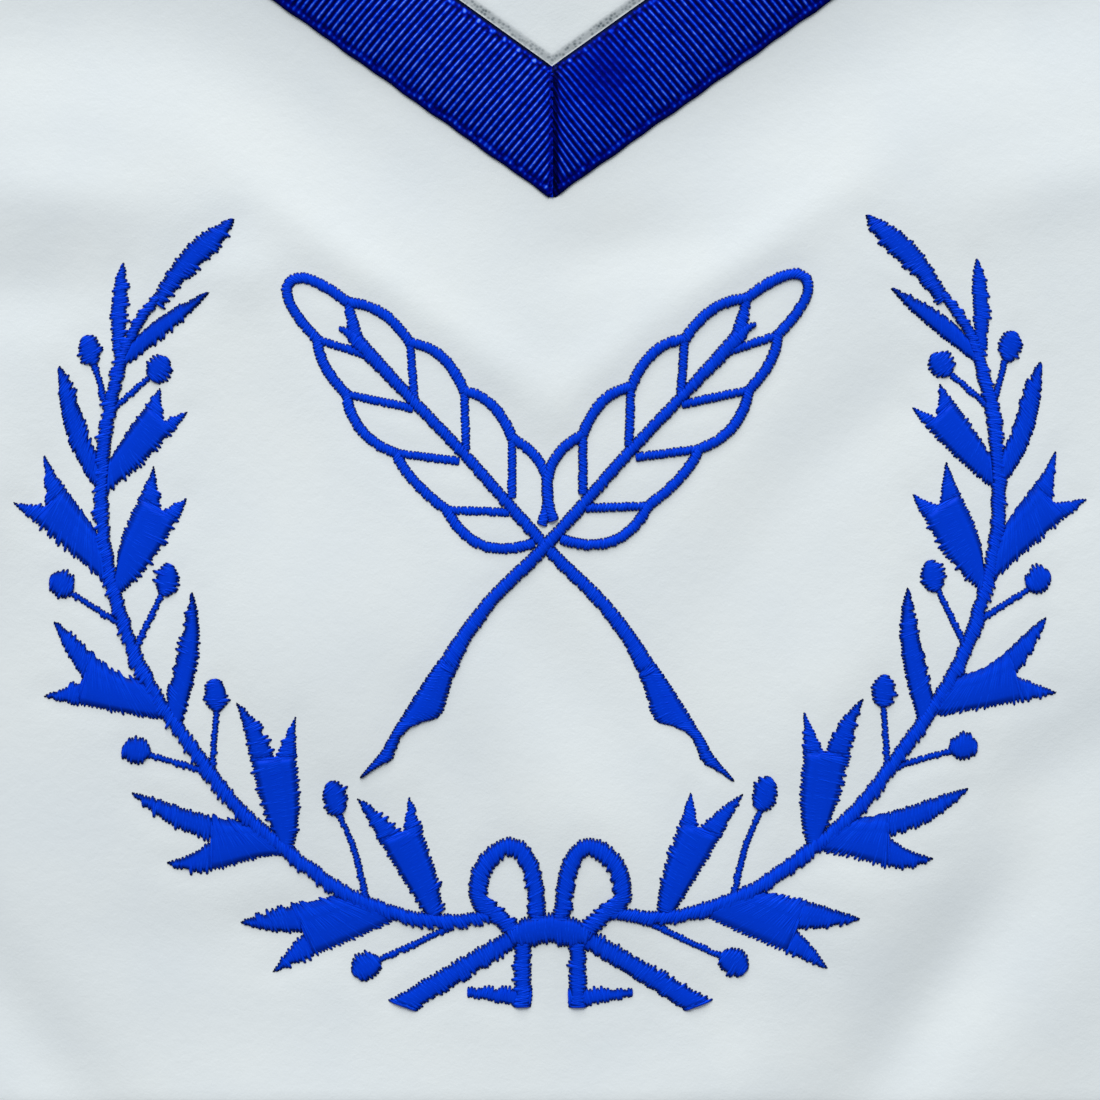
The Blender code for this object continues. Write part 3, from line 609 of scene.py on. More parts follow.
def leaf_columns(leaf):
    """The columns of a simple or a forked leaf."""
    leaf = reaching(leaf)
    edge_a = bowed(leaf.root_a, leaf.tip_a, leaf.swell_a)
    last_tip = leaf.tip_b if leaf.notch else leaf.tip_a
    edge_b = bowed(last_tip, leaf.root_b, leaf.swell_b)[::-1]
    if not leaf.notch:
        return [Column(edge_a, edge_b, 0.0, 0.35)]
    root = (np.array(leaf.root_a) + leaf.root_b) / 2
    axis = np.array(leaf.notch) - root
    level_a, level_b = (float(np.interp(axis @ axis, np.maximum.accumulate((edge - root) @ axis),
                                        np.linspace(0, 1, len(edge)))) for edge in (edge_a, edge_b))
    inner_a = bowed(leaf.tip_a, leaf.notch, (leaf.prongs[0],) * 2)[::-1]
    inner_b = bowed(leaf.notch, leaf.tip_b, (leaf.prongs[1],) * 2)
    return [
        Column(part_of(edge_a, level_a, 1), inner_a, 0.0, 0.2),
        Column(inner_b, part_of(edge_b, level_b, 1), 0.0, 0.2),
        Column(part_of(edge_a, 0, level_a), part_of(edge_b, 0, level_b), LEAF_LIFT, 0.35),
    ]


def berry_columns(berry):
    """A round column over the end of its stalk."""
    out = np.array(berry.stalk[0]) - berry.stalk[1]
    out = out / np.hypot(*out)
    turn = np.linspace(BERRY_END, math.pi - BERRY_END, EDGE_STEPS + 1)[:, None]
    size = np.array([berry.width, berry.height]) / 2
    left = np.array([-out[1], out[0]])
    halves = [np.array(berry.centre) + (-np.cos(turn) * out + np.sin(turn) * way) * size
              for way in (left, -left)]
    stalk = through(berry.stalk) if len(berry.stalk) > 2 else part_of(berry.stalk, 0, 1)
    return [band(stalk, STALK_WIDTHS, 0.0), Column(*halves, BERRY_LIFT, 0.3)]


branch = [column for leaf in LEAVES for column in leaf_columns(leaf)]
branch += [column for berry in BERRIES for column in berry_columns(berry)]
branch.append(band(through(STEM), STEM_WIDTHS, STEM_LIFT))
print("a branch has", len(branch), "columns")

# %% [markdown]
# The barbs of a quill run from the feather's rim to its shaft and leave open cells between
# them. The shaft is sewn over the barbs, and one whole quill over the other. Half of the bow is
# drawn and mirrored, with its loop over its tail and the bar over all.

# %% Columns of the quills and the bow
RIM_LIFT, NIB_LIFT, SHAFT_LIFT, SECOND_QUILL_LIFT = 0.1, 0.05, 0.2, 0.24
TAIL_LIFT, LEG_LIFT, LOOP_LIFT, BAR_LIFT = 0.1, 0.15, 0.28, 0.42


def between(edges, lift, lean):
    """A column between two edges that are given as a few points."""
    return Column(*(part_of(edge, 0, 1) for edge in edges), lift, lean)


def placed(columns, dx=0.0, dy=0.0, lift=0.0, mirror=False):
    """The columns mirrored across the middle or not, and shifted."""
    flip = np.array([-1.0 if mirror else 1.0, 1.0])
    return [Column(c.edge_a * flip + (dx, dy), c.edge_b * flip + (dx, dy), c.lift + lift, c.lean)
            for c in columns]


quill = []
for joints, barb_ends in ((UPPER_JOINTS, UPPER_BARB_ENDS), (LOWER_JOINTS, LOWER_BARB_ENDS)):
    for barb in zip(joints, barb_ends):
        widths = FIRST_BARB_WIDTHS if barb[0] == UPPER_JOINTS[0] else BARB_WIDTHS
        quill.append(band(part_of(barb, 0, 1), widths, 0.0))
rims = [*zip(UPPER_JOINTS, UPPER_BENDS, UPPER_JOINTS[1:]),
        *zip(LOWER_JOINTS, LOWER_BENDS, LOWER_JOINTS[1:]),
        (UPPER_JOINTS[0], TIP_BENDS[0], TIP_END), (TIP_END, TIP_BENDS[1], LOWER_JOINTS[0])]
quill += [band(arc(*rim), RIM_WIDTHS, RIM_LIFT) for rim in rims]
quill += [band(through(SPUR), SPUR_WIDTHS, RIM_LIFT), between(NIB_EDGES, NIB_LIFT, 0.2),
          band(through(SHAFT), SHAFT_WIDTHS, SHAFT_LIFT)]
half_bow = [band(through(BOW_LOOP), BOW_LOOP_WIDTHS, LOOP_LIFT, 0.2)]
half_bow += [between(edges, lift, 0.2) for edges, lift in (
    (BOW_TAIL_EDGES, TAIL_LIFT), (BOW_FOOT_EDGES, 0.0), (BOW_LEG_EDGES, LEG_LIFT))]
emblem = {
    "crossed_quills": quill + placed(quill, *SECOND_QUILL_SHIFT, SECOND_QUILL_LIFT, mirror=True),
    "wreath_left": placed(branch, 0.0, -WREATH_SKEW),
    "wreath_right": placed(branch, 0.0, WREATH_SKEW, mirror=True),
    "bow": half_bow + placed(half_bow, mirror=True) + [between(BOW_BAR_EDGES, BAR_LIFT, 0.1)],
}
emblem = {name: placed(columns, EMBLEM_X, EMBLEM_Y) for name, columns in emblem.items()}
print({name: len(columns) for name, columns in emblem.items()})

# %% [markdown]
# Thread tension draws the cloth down along every column, which leaves small puffs between
# them, as in the cells of the feathers. The dip depends on how far a point is from the nearest
# column, and a tree of points on the columns answers that quickly.

# %% The dip along the threads
PULL_DEPTH, PULL_REACH = 0.14, 2.6
sewn = np.concatenate([np.concatenate([c.edge_a, c.edge_b, (c.edge_a + c.edge_b) / 2])[::2]
                       for columns in emblem.values() for c in columns])
sewn_points = KDTree(len(sewn))
for number, (x, y) in enumerate(sewn):
    sewn_points.insert((x, y, 0.0), number)
sewn_points.balance()


def face_of_body(x, y):
    """The height of the body's face, drawn down by the threads."""
    away = [sewn_points.find((px, py, 0.0))[2] for px, py in zip(np.ravel(x), np.ravel(y))]
    pull = PULL_DEPTH * np.exp(-(np.reshape(away, np.shape(x)) / PULL_REACH) ** 2)
    return drape(x, y) + PANEL_THICKNESS - pull


print(len(sewn), "points on the columns")

# %% [markdown]
# The body is one closed sheet. Its grid is 1.7 mm fine where the photograph shows it and 4 mm
# elsewhere, which keeps every fold smooth at a sensible size. The edge is turned under, so its
# last 1.6 mm roll down.

# %% The body of the apron
ROLL_DEPTH, ROLL_REACH, UNDER_ROLL = 0.7, 1.6, 0.6
SEEN_X, SEEN_Y, GRID_STEPS = (-113, 113), (-151, 76), (1.7, 4.0)
body_side, body_top = SIDE - EDGE_INSET, TOP - EDGE_INSET
x, y = np.meshgrid(graded(body_side, *SEEN_X, *GRID_STEPS), graded(body_top, *SEEN_Y, *GRID_STEPS),
                   indexing="ij")
roll = ROLL_DEPTH * (
    1 - smooth(0.0, ROLL_REACH, np.minimum(body_side - abs(x), body_top - abs(y))))
upper = np.stack([x, y, face_of_body(x, y) - roll], axis=-1)
lower = np.stack([x, y, drape(x, y) + roll * UNDER_ROLL], axis=-1)
points, faces, underneath = closed_sheet(upper, lower)
body = make_piece("apron_body_cloth", points, faces, [leathercloth, backing], underneath)
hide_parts("apron_body")

# %% [markdown]
# The flap hangs from the waist edge and lies on the body. Its grid narrows with it towards the
# point, so its cells are small just where the photograph shows the white between the ribbons.
# The cloth dips along the inner edge of the ribbon, where it is stitched through, and is plump
# between the ribbons. Under the ribbon it is pressed thin towards its edge, so that the edge
# casts the thin shadow of sewn cloth and not that of a board.

# %% The flap
PRESSED, PRESS_REACH, RIBBON_TIP = 0.1, 9.0, FLAP_TIP - 0.7
DIP_DEPTH, DIP_REACH, FLAP_PLUMP = 0.35, 1.3, 0.6
FLAP_ROLL, FLAP_ROLL_REACH = 0.05, 1.4


def under_flap(x, y):
    """The height of the flap's underside, which rides over the side ribbons at the top."""
    ride = smooth(FLAP_RIDE_START, FLAP_RIDE_END, abs(x))
    return drape(x, y) + PANEL_THICKNESS + TOUCH + (1.0 + GAP) * ride


def within_ribbon(x, y):
    """How far inside the flap ribbon's inner edge a point lies."""
    return (y - RIBBON_TIP) * math.cos(FLAP_SLOPE) - abs(x) * math.sin(FLAP_SLOPE) - RIBBON_WIDTH


def flap_edge(x, y):
    """The height of the flap's face where ribbon covers it, pressed thin along its edge."""
    return under_flap(x, y) + PRESSED + (FLAP_THICKNESS - PRESSED) * smooth(
        0.0, PRESS_REACH, within_ribbon(x, y) + RIBBON_WIDTH)


def face_of_flap(x, y):
    """The height of the flap's face."""
    inside = within_ribbon(x, y)
    dip = DIP_DEPTH * np.exp(-(inside / DIP_REACH) ** 2)
    return flap_edge(x, y) - dip + FLAP_PLUMP * smooth(1.0, 16.0, inside)


inset = EDGE_INSET / math.cos(FLAP_SLOPE)
row_heights = np.unique(np.concatenate([
    np.arange(FLAP_TIP + inset + 0.5, 56, 2.0), np.arange(56, 76, 0.7), np.arange(76, TOP - 1, 2.2),
    [TOP - 0.8, TOP - 0.3, TOP]]))
half_widths = (row_heights - FLAP_TIP - inset) / math.tan(FLAP_SLOPE)
share, y = np.meshgrid(np.linspace(-1, 1, 101), row_heights, indexing="ij")
x = share * half_widths
roll = FLAP_ROLL * (1 - smooth(0.0, FLAP_ROLL_REACH, (1 - abs(share)) * half_widths))
upper = np.stack([x, y, face_of_flap(x, y) - roll], axis=-1)
lower = np.stack([x, y, under_flap(x, y) + 0.3 * roll], axis=-1)
points, faces, underneath = closed_sheet(upper, lower)
inside = np.maximum(within_ribbon(x, y), 0.0).ravel()
flap = make_piece("flap_cloth", points, faces, [leathercloth, backing], underneath,
                  {"from_ribbon": np.concatenate([inside, inside])})
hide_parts("flap")

# %% [markdown]
# Grosgrain could be a flat strip with a bump, but its ribs catch the light one by one, so they
# are modelled: rows across the strip, several to a rib, raised to a narrow crest. Each strip
# starts flat and is cut by straight lines at its mitres. Bisecting a mesh by planes does that
# cleanly and adds points where the seam will need them.

# %% A flat strip cut at its mitres
RIB_PITCH, RIB_SKEW = 1.24, 0.11
ACROSS = [0, 0.25, 0.6, 1.0, 1.4, 1.8, 2.4, 4.6, 7.2, 9.8, 12.4, 15.0, 17.4,
          19.1, 19.7, 20.1, 20.5, 20.9, 21.25, 21.5]
ACROSS_BORDER = [0, 0.3, 1.0, 1.6, 2.4, 6.5, 10.75, 15.0, 19.1, 19.9, 20.5, 21.2, 21.5]


def rib_rows(start, fine_end, end):
    """Row positions along the strip, six to a rib up to fine_end and three after it."""
    fine = np.arange(round(start / RIB_PITCH * 6), round(fine_end / RIB_PITCH) * 6) / 6
    coarse = np.arange(round(fine_end / RIB_PITCH) * 3, round(end / RIB_PITCH * 3) + 1) / 3
    return np.concatenate([fine, coarse]) * RIB_PITCH


def cut_lattice(corner, along, across, rows, columns, cuts, seam_lines):
    """A flat strip with a point for each row and column, trimmed by cuts, split at seam_lines."""
    bm = bmesh.new()
    lattice = [[bm.verts.new((*(corner + along * (u - RIB_SKEW * v) + across * v), 0.0))
                for v in columns] for u in rows]
    for line, following in zip(lattice, lattice[1:]):
        for a, b, c, d in zip(line, following, following[1:], line[1:]):
            bm.faces.new((a, b, c, d))
    planes = [{"plane_co": (*point, 0.0), "plane_no": (*outward, 0.0), "clear_outer": True}
              for point, outward in cuts]
    planes += [{"plane_co": (math.copysign(away, along[0]), 0.0, 0.0), "plane_no": (1.0, 0.0, 0.0)}
               for away in seam_lines]
    for plane in planes:
        everything = bm.verts[:] + bm.edges[:] + bm.faces[:]
        bmesh.ops.bisect_plane(bm, geom=everything, dist=1e-4, **plane)
    return bm


print(RIBBON_WIDTH, "mm ribbon with", round(100 / RIB_PITCH), "ribs in 100 mm")

# %% [markdown]
# Ribs fade into a smooth selvedge at both edges, with a knot of weft at the end of each and a row
# of stitches along the inner edge, and the edge turns down. At the point of the flap the ribs are
# dragged up into the seam. These two functions give the heights of the face, and the mark with
# which the finish paints highlight and shade on each point.

# %% Ribs, knots, stitches and the seam
RIB_HEIGHT, SELVEDGE = 0.26, 1.9
STITCH_PITCH, STITCH_INSET, STITCH_REACH, STITCH_HEIGHT = 3.65, 1.35, 0.36, 0.12
STITCH_SHINE = {"right": 0.55, "left": 1.05}
EDGE_DROP, EDGE_ROUND, GROOVE_DEPTH = 0.48, 1.4, 0.12


def ribbed(u, v, hand):
    """The ribs at u along and v across a strip, how they shine and how high the face stands."""
    edge = np.minimum(v, RIBBON_WIDTH - v)
    phase = (u + RIB_SKEW * v) / RIB_PITCH
    ribs = (0.5 + 0.5 * np.cos(2 * math.pi * phase)) ** 2.2
    weave = smooth(SELVEDGE * 0.8, SELVEDGE * 1.15, edge)
    loose = 0.5 + 0.5 * np.sin(np.round(phase) * 2.4 + 3.0 * np.sin(np.round(phase) * 0.7))
    knots = (0.45 + 0.5 * loose) * np.exp(-((edge - SELVEDGE * (0.45 + 0.2 * loose)) / 0.35) ** 2)
    stitch_turn = 2 * math.pi * (u + 0.7 * np.sin(u * 0.21)) / STITCH_PITCH
    stitched = (0.5 + 0.5 * np.cos(stitch_turn)) ** 9
    stitches = np.exp(-((v - RIBBON_WIDTH + STITCH_INSET) / STITCH_REACH) ** 2) * stitched
    # The painted shine is a painted highlight on the rib crests, the knots and the stitches,
    # brighter on the left strip, and painted shade in the grooves and at both edges.
    painted_shine = 0.12 + 0.86 * ribs ** 1.25 * (weave + (1 - weave) * knots) + 0.32 * knots
    painted_shine -= 0.07 * (1 - weave) * smooth(8.0, 12.0, v)
    painted_shine = painted_shine + stitches * STITCH_SHINE[hand]
    painted_shine *= smooth(-0.1, 0.25, v) * smooth(0.25, 0.8, RIBBON_WIDTH - v)
    height = RIBBON_THICKNESS + RIB_HEIGHT * ribs * (weave + 0.4 * knots) + STITCH_HEIGHT * stitches
    height -= EDGE_DROP * (1 - smooth(0.0, EDGE_ROUND, edge))
    return ribs, painted_shine, height - GROOVE_DEPTH * np.exp(-((edge - 1.5) / 0.5) ** 2)


def at_seam(x, y, u, v, ribs, painted_shine, hand):
    """How far ribs are dragged up near the seam, how they shine there and how far they sink."""
    right = hand == "right"
    from_seam, edge = abs(x), np.minimum(v, RIBBON_WIDTH - v)
    pulled = (1.7 if right else 0.5) * np.exp(-from_seam / 2.2) * smooth(0.0, 5.0, edge)
    dragged = 1 - (smooth(1.1, 1.8, from_seam) if right else smooth(0.4, 0.9, from_seam))
    y = y + pulled
    # Near the seam the painted shine becomes a mottle of painted light and shade. A painted
    # highlight runs along the fold on the left, and on the right the strip is painted a little
    # duller, with a patch of painted shade.
    mottled = 0.5 + 0.25 * np.sin(y * 3.1 + x * 5.0) + 0.25 * np.sin(y * 7.3 - x * 4.0)
    fold_highlight = 0.0 if right else 0.3 * np.exp(-((from_seam - 0.15) / 0.2) ** 2)
    painted_shine = painted_shine * (1 - dragged) + (0.03 + 0.36 * mottled ** 3 + fold_highlight) * dragged
    sink = (0.3 - 0.15 * mottled) * dragged
    if right:
        flattened = np.exp(-((u - 23.0) / 7.0) ** 2 - ((v - 14.0) / 6.0) ** 2)
        painted_shine = painted_shine * (0.92 - 0.6 * flattened) + 0.14 * flattened
        sink = sink + 0.12 * ribs * flattened
    return pulled, painted_shine, sink


print("ribs stand", RIB_HEIGHT, "mm high, with a stitch each", STITCH_PITCH, "mm")

# %% [markdown]
# To weave a ribbon, its cut strip is raised by the ribs over what it lies on, its outer edge
# wanders a little, and the whole is doubled underneath into a closed piece.

# %% Weave a ribbon
SEAM_LINES = (0.3, 0.7, 1.1, 1.6, 2.3, 3.4)


def woven_ribbon(name, corner, along, across, rows, columns, cuts, lie, seam_lines=()):
    """A ribbed strip from its outer corner. cuts are pairs of a point and an outward normal."""
    corner, along, across = (np.array(v, float) for v in (corner, along, across))
    hand = "right" if along[0] > 0 else "left"
    bm = cut_lattice(corner, along, across, rows, columns, cuts, seam_lines)
    x, y = np.array([v.co[:2] for v in bm.verts]).T
    u = (x - corner[0]) * along[0] + (y - corner[1]) * along[1]
    v = (x - corner[0]) * across[0] + (y - corner[1]) * across[1]
    ribs, painted_shine, height = ribbed(u, v, hand)
    z = lie(x, y) + height
    wander = 0.06 * (np.sin(u * 0.9) + np.sin(u * 0.37 + 2.0)) * (1 - smooth(0.0, 4.0, v))
    x, y = x - across[0] * wander, y - across[1] * wander
    if seam_lines:
        pulled, painted_shine, sink = at_seam(x, y, u, v, ribs, painted_shine, hand)
        y, z = y + pulled, z - sink
    mark = bm.verts.layers.float.new("painted_shine")
    for vert, px, py, pz, shine in zip(bm.verts, x, y, z, painted_shine):
        vert.co = (px, py, pz)
        vert[mark] = shine
    bmesh.ops.recalc_face_normals(bm, faces=bm.faces[:])
    everything = bm.verts[:] + bm.edges[:] + bm.faces[:]
    doubled = bmesh.ops.extrude_face_region(bm, geom=everything, use_keep_orig=True)
    under = [g for g in doubled["geom"] if isinstance(g, bmesh.types.BMVert)]
    bmesh.ops.translate(bm, verts=under, vec=(0.0, 0.0, -RIBBON_THICKNESS))
    bmesh.ops.recalc_face_normals(bm, faces=bm.faces[:])
    bm.verts.index_update()
    points = [v.co[:] for v in bm.verts]
    faces = [[v.index for v in f.verts] for f in bm.faces]
    marks = {"painted_shine": [v[mark] for v in bm.verts]}
    bm.free()
    return make_piece(name, points, faces, [grosgrain], marks=marks)


def on_body(x, y):
    """Where ribbon lies on the body."""
    return drape(x, y) + PANEL_THICKNESS + TOUCH


def on_flap(x, y):
    """Where ribbon lies on the flap."""
    return flap_edge(x, y) + TOUCH


print("ribbon is", RIBBON_THICKNESS, "mm thick between its ribs")

# %% [markdown]
# Two strips edge the flap and meet in a mitre at its point, which is folded a little blunt.
# Three strips edge the body and meet in mitres at its lower corners. The flap's strips are
# woven finest where the photograph shows them.

# %% The five ribbons
SEAM = -0.2
slope = np.array([math.cos(FLAP_SLOPE), math.sin(FLAP_SLOPE)])
flap_rows = rib_rows(-1.0, 92.0, SIDE / slope[0] + 2)
ribbons = {}
for side_name, way in (("right", 1), ("left", -1)):
    ribbons["flap_ribbon_" + side_name] = woven_ribbon(
        "flap_grosgrain_" + side_name, (0.0, RIBBON_TIP), (way * slope[0], slope[1]),
        (-way * slope[1], slope[0]), flap_rows, ACROSS,
        (((way * SEAM, 0.0), (-way, 0.0)), ((0.0, TOP), (0.0, 1.0)),
         ((way * SIDE, 0.0), (way, 0.0)), ((0.0, RIBBON_TIP + 0.5), (0.0, -1.0))),
        on_flap, SEAM_LINES)
    ribbons["border_ribbon_" + side_name] = woven_ribbon(
        "border_grosgrain_" + side_name, (way * SIDE, TOP), (0.0, -1.0), (-way, 0.0),
        rib_rows(0.0, 0.0, APRON_HEIGHT + 1), ACROSS_BORDER,
        (((way * SIDE, -TOP + SEAM), (-way, -1.0)), ((0.0, TOP), (0.0, 1.0))), on_body)
ribbons["border_ribbon_bottom"] = woven_ribbon(
    "border_grosgrain_bottom", (-SIDE, -TOP), (1.0, 0.0), (0.0, 1.0),
    rib_rows(0.0, 0.0, APRON_WIDTH + 1), ACROSS_BORDER,
    (((SIDE, -TOP - SEAM), (1.0, 1.0)), ((-SIDE, -TOP - SEAM), (-1.0, 1.0))), on_body)
for node, ribbon in ribbons.items():
    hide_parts(node)

# %% [markdown]
# A thread is a thin tube with four sides, shaded round. It comes up through a needle hole,
# arches over and goes down through another, so both its ends dive under the face that it lies
# on. One function makes all threads of a piece at once, from arrays of holes.

# %% Threads from hole to hole
THREAD_WIDTH, THREAD_DEPTH, THREAD_SIDES, HOLE_REACH = 0.6, 0.26, 4, 0.7


def threads(starts, ends, shares, heights, base, at_hole):
    """Rings of tubes from starts to ends, each with its centre line's heights over base.

    at_hole is how much of its width a thread keeps at its holes.
    """
    way = (ends - starts)[:, None, :]
    centre = starts[:, None, :] + way * shares[..., None]
    z = base(centre[..., 0], centre[..., 1]) + heights
    level = way / np.maximum(np.linalg.norm(way, axis=-1, keepdims=True), 1e-6)
    run = np.gradient(shares, axis=1) * np.linalg.norm(way, axis=-1)
    pitch = np.arctan2(np.gradient(heights, axis=1), np.maximum(run, 1e-6))
    turn = math.pi / 2 + 2 * math.pi * np.arange(THREAD_SIDES) / THREAD_SIDES
    from_hole = np.minimum(shares, 1 - shares) * np.linalg.norm(way, axis=-1)
    size = (at_hole + (1 - at_hole) * smooth(0.0, HOLE_REACH, from_hole))[..., None]
    out = np.cos(turn) * THREAD_WIDTH / 2 * size
    up = np.sin(turn) * THREAD_DEPTH / 2 * size
    side = np.stack([-level[..., 1], level[..., 0]], axis=-1)
    lean_back = -np.sin(pitch)[..., None] * up
    xy = (centre[:, :, None, :] + side[:, :, None, :] * out[..., None]
          + level[:, :, None, :] * lean_back[..., None])
    z = z[..., None] + np.cos(pitch)[..., None] * up
    return np.concatenate([xy, z[..., None]], axis=-1)


print("thread", THREAD_WIDTH, "mm wide and", THREAD_DEPTH, "mm deep")

# %% [markdown]
# In satin stitch the needle goes down every 0.67 mm along each edge, and the two threads that
# share a hole make one tooth of the ragged edge. Holes wander a little, some stand out further,
# and one edge of a column is more ragged than the other.

# %% Where the needle goes down
NEEDLE_STEP, HOLE_JITTER, JUT_NEEDS_WIDTH = 0.67, 0.4, 2.4


def needle_holes(column, ragged):
    """The holes along a column in the order that the needle takes them."""
    width = np.linalg.norm(column.edge_a - column.edge_b, axis=1).mean()
    length = max(np.linalg.norm(np.diff(edge, axis=0), axis=1).sum() for edge in column[:2])
    count = max(3, round(length / NEEDLE_STEP))
    lean = min(column.lean * width / length, 0.3) / 2
    order = np.arange(2 * count + 1)
    t = (order + draws.uniform(-HOLE_JITTER, HOLE_JITTER, len(order))) / (2 * count)
    on_a = order % 2 == 0
    t = np.clip(t * (1 + 2 * lean) - lean + np.where(on_a, -lean, lean), 0, 1)
    a, b = points_at(column.edge_a, t), points_at(column.edge_b, t)
    near, far = np.where(on_a[:, None], a, b), np.where(on_a[:, None], b, a)
    out = (near - far) / np.maximum(np.linalg.norm(near - far, axis=1, keepdims=True), 1e-6)
    luck = draws.uniform(0, 1, len(t))
    jut = draws.normal(0.06, 0.1, len(t)) + 0.5 * (luck > 0.66) - 0.4 * (luck < 0.07)
    local = np.linalg.norm(near - far, axis=1)
    uneven = np.where(on_a, *draws.permutation([1.3, 0.6]))
    jut = np.clip(jut, -0.4, 0.7) * uneven * ragged * np.clip(local / JUT_NEEDS_WIDTH, 0.2, 1.0)
    return near + out * (0.18 * np.clip(local / 0.8, 0.2, 1.0) + jut)[:, None]


print("the needle goes down each", NEEDLE_STEP, "mm")

# %% [markdown]
# The threads arch over a pad of underlay thread and lie half sunk in it. The pad is painted dark
# near its edges as shade, and it closes the gaps. On wide leaves a thread longer than 5 mm is
# caught down on its way, which gives the fine slanting texture there, and the catch is painted
# darker as shade.

# %% Satin stitch over its pad
CROWN, CROWN_REACH, LONG_STITCH, NEEDLE_SINK = 0.44, 2.2, 5.0, 0.25
SHORT_SHARES = np.array([0, 0.08, 0.25, 0.5, 0.75, 0.92, 1.0])
LONG_SHARES = np.array([0, 0.02, 0.08, 0.2, 0.32, 0.36, 0.40, 0.6, 0.8, 0.93, 0.985, 1.0])
CAUGHT_AT, CAUGHT_REACH, CAUGHT_DEPTH, CAUGHT_SHADE = 0.36, 0.3, 0.1, 0.4
PAD_SHARES, PAD_RISE, PAD_INSET = (0.0, 0.06, 0.16, 0.3, 0.5, 0.7, 0.84, 0.94, 1.0), 0.1, 0.3


def shade_at_hole(from_edge, reach):
    """How much painted shade thread gets at a distance from its needle hole."""
    return 1 - smooth(0.15 * reach, 1.4 * reach, from_edge)


def dome(share):
    """The arch of a thread over the pad, 0 at its holes and 1 over its middle."""
    return np.clip(1 - abs(2 * share - 1) ** 2.4, 0, 1) ** 0.55


def satin(column, ragged, shade_reach):
    """Points, faces and marks of the threads of a column."""
    holes = needle_holes(column, ragged)
    starts, ends = holes[:-1], holes[1:]
    length = np.linalg.norm(ends - starts, axis=1)
    parts = []
    for is_long, base_shares in ((False, SHORT_SHARES), (True, LONG_SHARES)):
        chosen = (length > LONG_STITCH) == is_long
        if not chosen.any():
            continue
        start, end, reach = starts[chosen], ends[chosen], length[chosen][:, None]
        count = len(start)
        shares = np.tile(base_shares, (count, 1))
        crown = CROWN * (1 - np.exp(-reach / CROWN_REACH))
        heights = dome(shares) * (crown + NEEDLE_SINK) - NEEDLE_SINK + column.lift * dome(shares)
        hole_shades = shade_at_hole(np.minimum(shares, 1 - shares) * reach, shade_reach)
        if is_long:
            caught = np.exp(-((shares - CAUGHT_AT) * reach / CAUGHT_REACH) ** 2)
            heights -= CAUGHT_DEPTH * caught
            hole_shades = np.maximum(hole_shades, CAUGHT_SHADE * caught)
        heights += draws.normal(0, 0.01, (count, 1)) * dome(shares)
        rings = threads(start, end, shares, heights, face_of_body, 0.9 - 0.48 * ragged)
        tones = np.clip(draws.normal(0.5, 0.15, count), 0, 1)[:, None, None]
        parts.append((*closed_tubes(rings), np.repeat(hole_shades[..., None], THREAD_SIDES, axis=2),
                      np.broadcast_to(tones, rings.shape[:3])))
    return parts


def underlay(column, shade_reach):
    """The pad of thread under a column, as one closed tube. Its threads lie half sunk in it."""
    length = max(np.linalg.norm(np.diff(edge, axis=0), axis=1).sum() for edge in column[:2])
    t = np.linspace(0.01, 0.99, max(6, round(length / 1.1)))
    a, b = points_at(column.edge_a, t), points_at(column.edge_b, t)
    width = np.linalg.norm(a - b, axis=1)[:, None]
    inset = np.minimum(PAD_INSET / np.maximum(width, 1e-6), 0.42)
    shares = inset + (1 - 2 * inset) * np.array([PAD_SHARES])
    xy = a[:, None] + (b - a)[:, None] * shares[..., None]
    crown = CROWN * (1 - np.exp(-width / CROWN_REACH)) + column.lift
    z = face_of_body(xy[..., 0], xy[..., 1]) + (crown + PAD_RISE) * dome(shares)
    z[:, [0, -1]] = face_of_body(xy[:, [0, -1], 0], xy[:, [0, -1], 1]) - 0.1
    under = z.max(axis=1, keepdims=True) - crown - 0.4
    floor = np.concatenate([(a + b) / 2, under], axis=-1)[:, None]
    rings = np.concatenate([np.concatenate([xy, z[..., None]], axis=-1), floor], axis=1)[None]
    edge_shade = shade_at_hole(np.minimum(shares, 1 - shares) * width, shade_reach)
    marks = np.concatenate([edge_shade, np.ones_like(edge_shade[:, :1])], axis=1)[None]
    return [(*closed_tubes(rings), np.clip(marks + 0.1, 0, 1), np.full(rings.shape[:3], 0.4))]


print("threads arch", CROWN, "mm over their pad at most")

# %% [markdown]
# All the columns of a piece are sewn one after another and joined as one mesh. The quills are sewn
# most evenly, and the left branch is the most ragged. The painted shade at the holes reaches
# further in where a column is wide.

# %% Sew the emblem
FULL_REACH_WIDTH = 3.6
RAGGED = {"crossed_quills": 0.25, "wreath_left": 0.85, "wreath_right": 0.6, "bow": 0.7}
SHADE_REACH = {"crossed_quills": 0.8, "wreath_left": 1.0, "wreath_right": 0.9, "bow": 0.85}


def joined(parts):
    """Points, faces and marks of many parts as one mesh."""
    points, faces, start = [], [], 0
    for part_points, part_faces, *_ in parts:
        points.append(part_points)
        faces += [[i + start for i in face] for face in part_faces]
        start += len(part_points)
    marks = {mark: np.concatenate([np.ravel(part[k]) for part in parts])
             for k, mark in ((2, "hole_shade"), (3, "tone"))}
    return np.concatenate(points), faces, marks


for node, columns in emblem.items():
    sewn_parts = []
    for column in columns:
        width = np.linalg.norm(column.edge_a - column.edge_b, axis=1).mean()
        shade_reach = SHADE_REACH[node] * np.clip(width / FULL_REACH_WIDTH, 0.6, 1.0)
        sewn_parts += underlay(column, shade_reach)
        sewn_parts += satin(column, RAGGED[node], shade_reach)
    points, faces, marks = joined(sewn_parts)
    piece = make_piece(node + "_satin_stitch", points, faces, [rayon], marks=marks, sharp=False)
    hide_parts(node)

# %% [markdown]
# The belt is webbing 25 mm wide. Each half runs out from behind a top corner, turns back in a
# loose fold and lies behind the apron up to the clasp. It is swept along its side view, with
# rounded edges and a low rib for each weft pick.

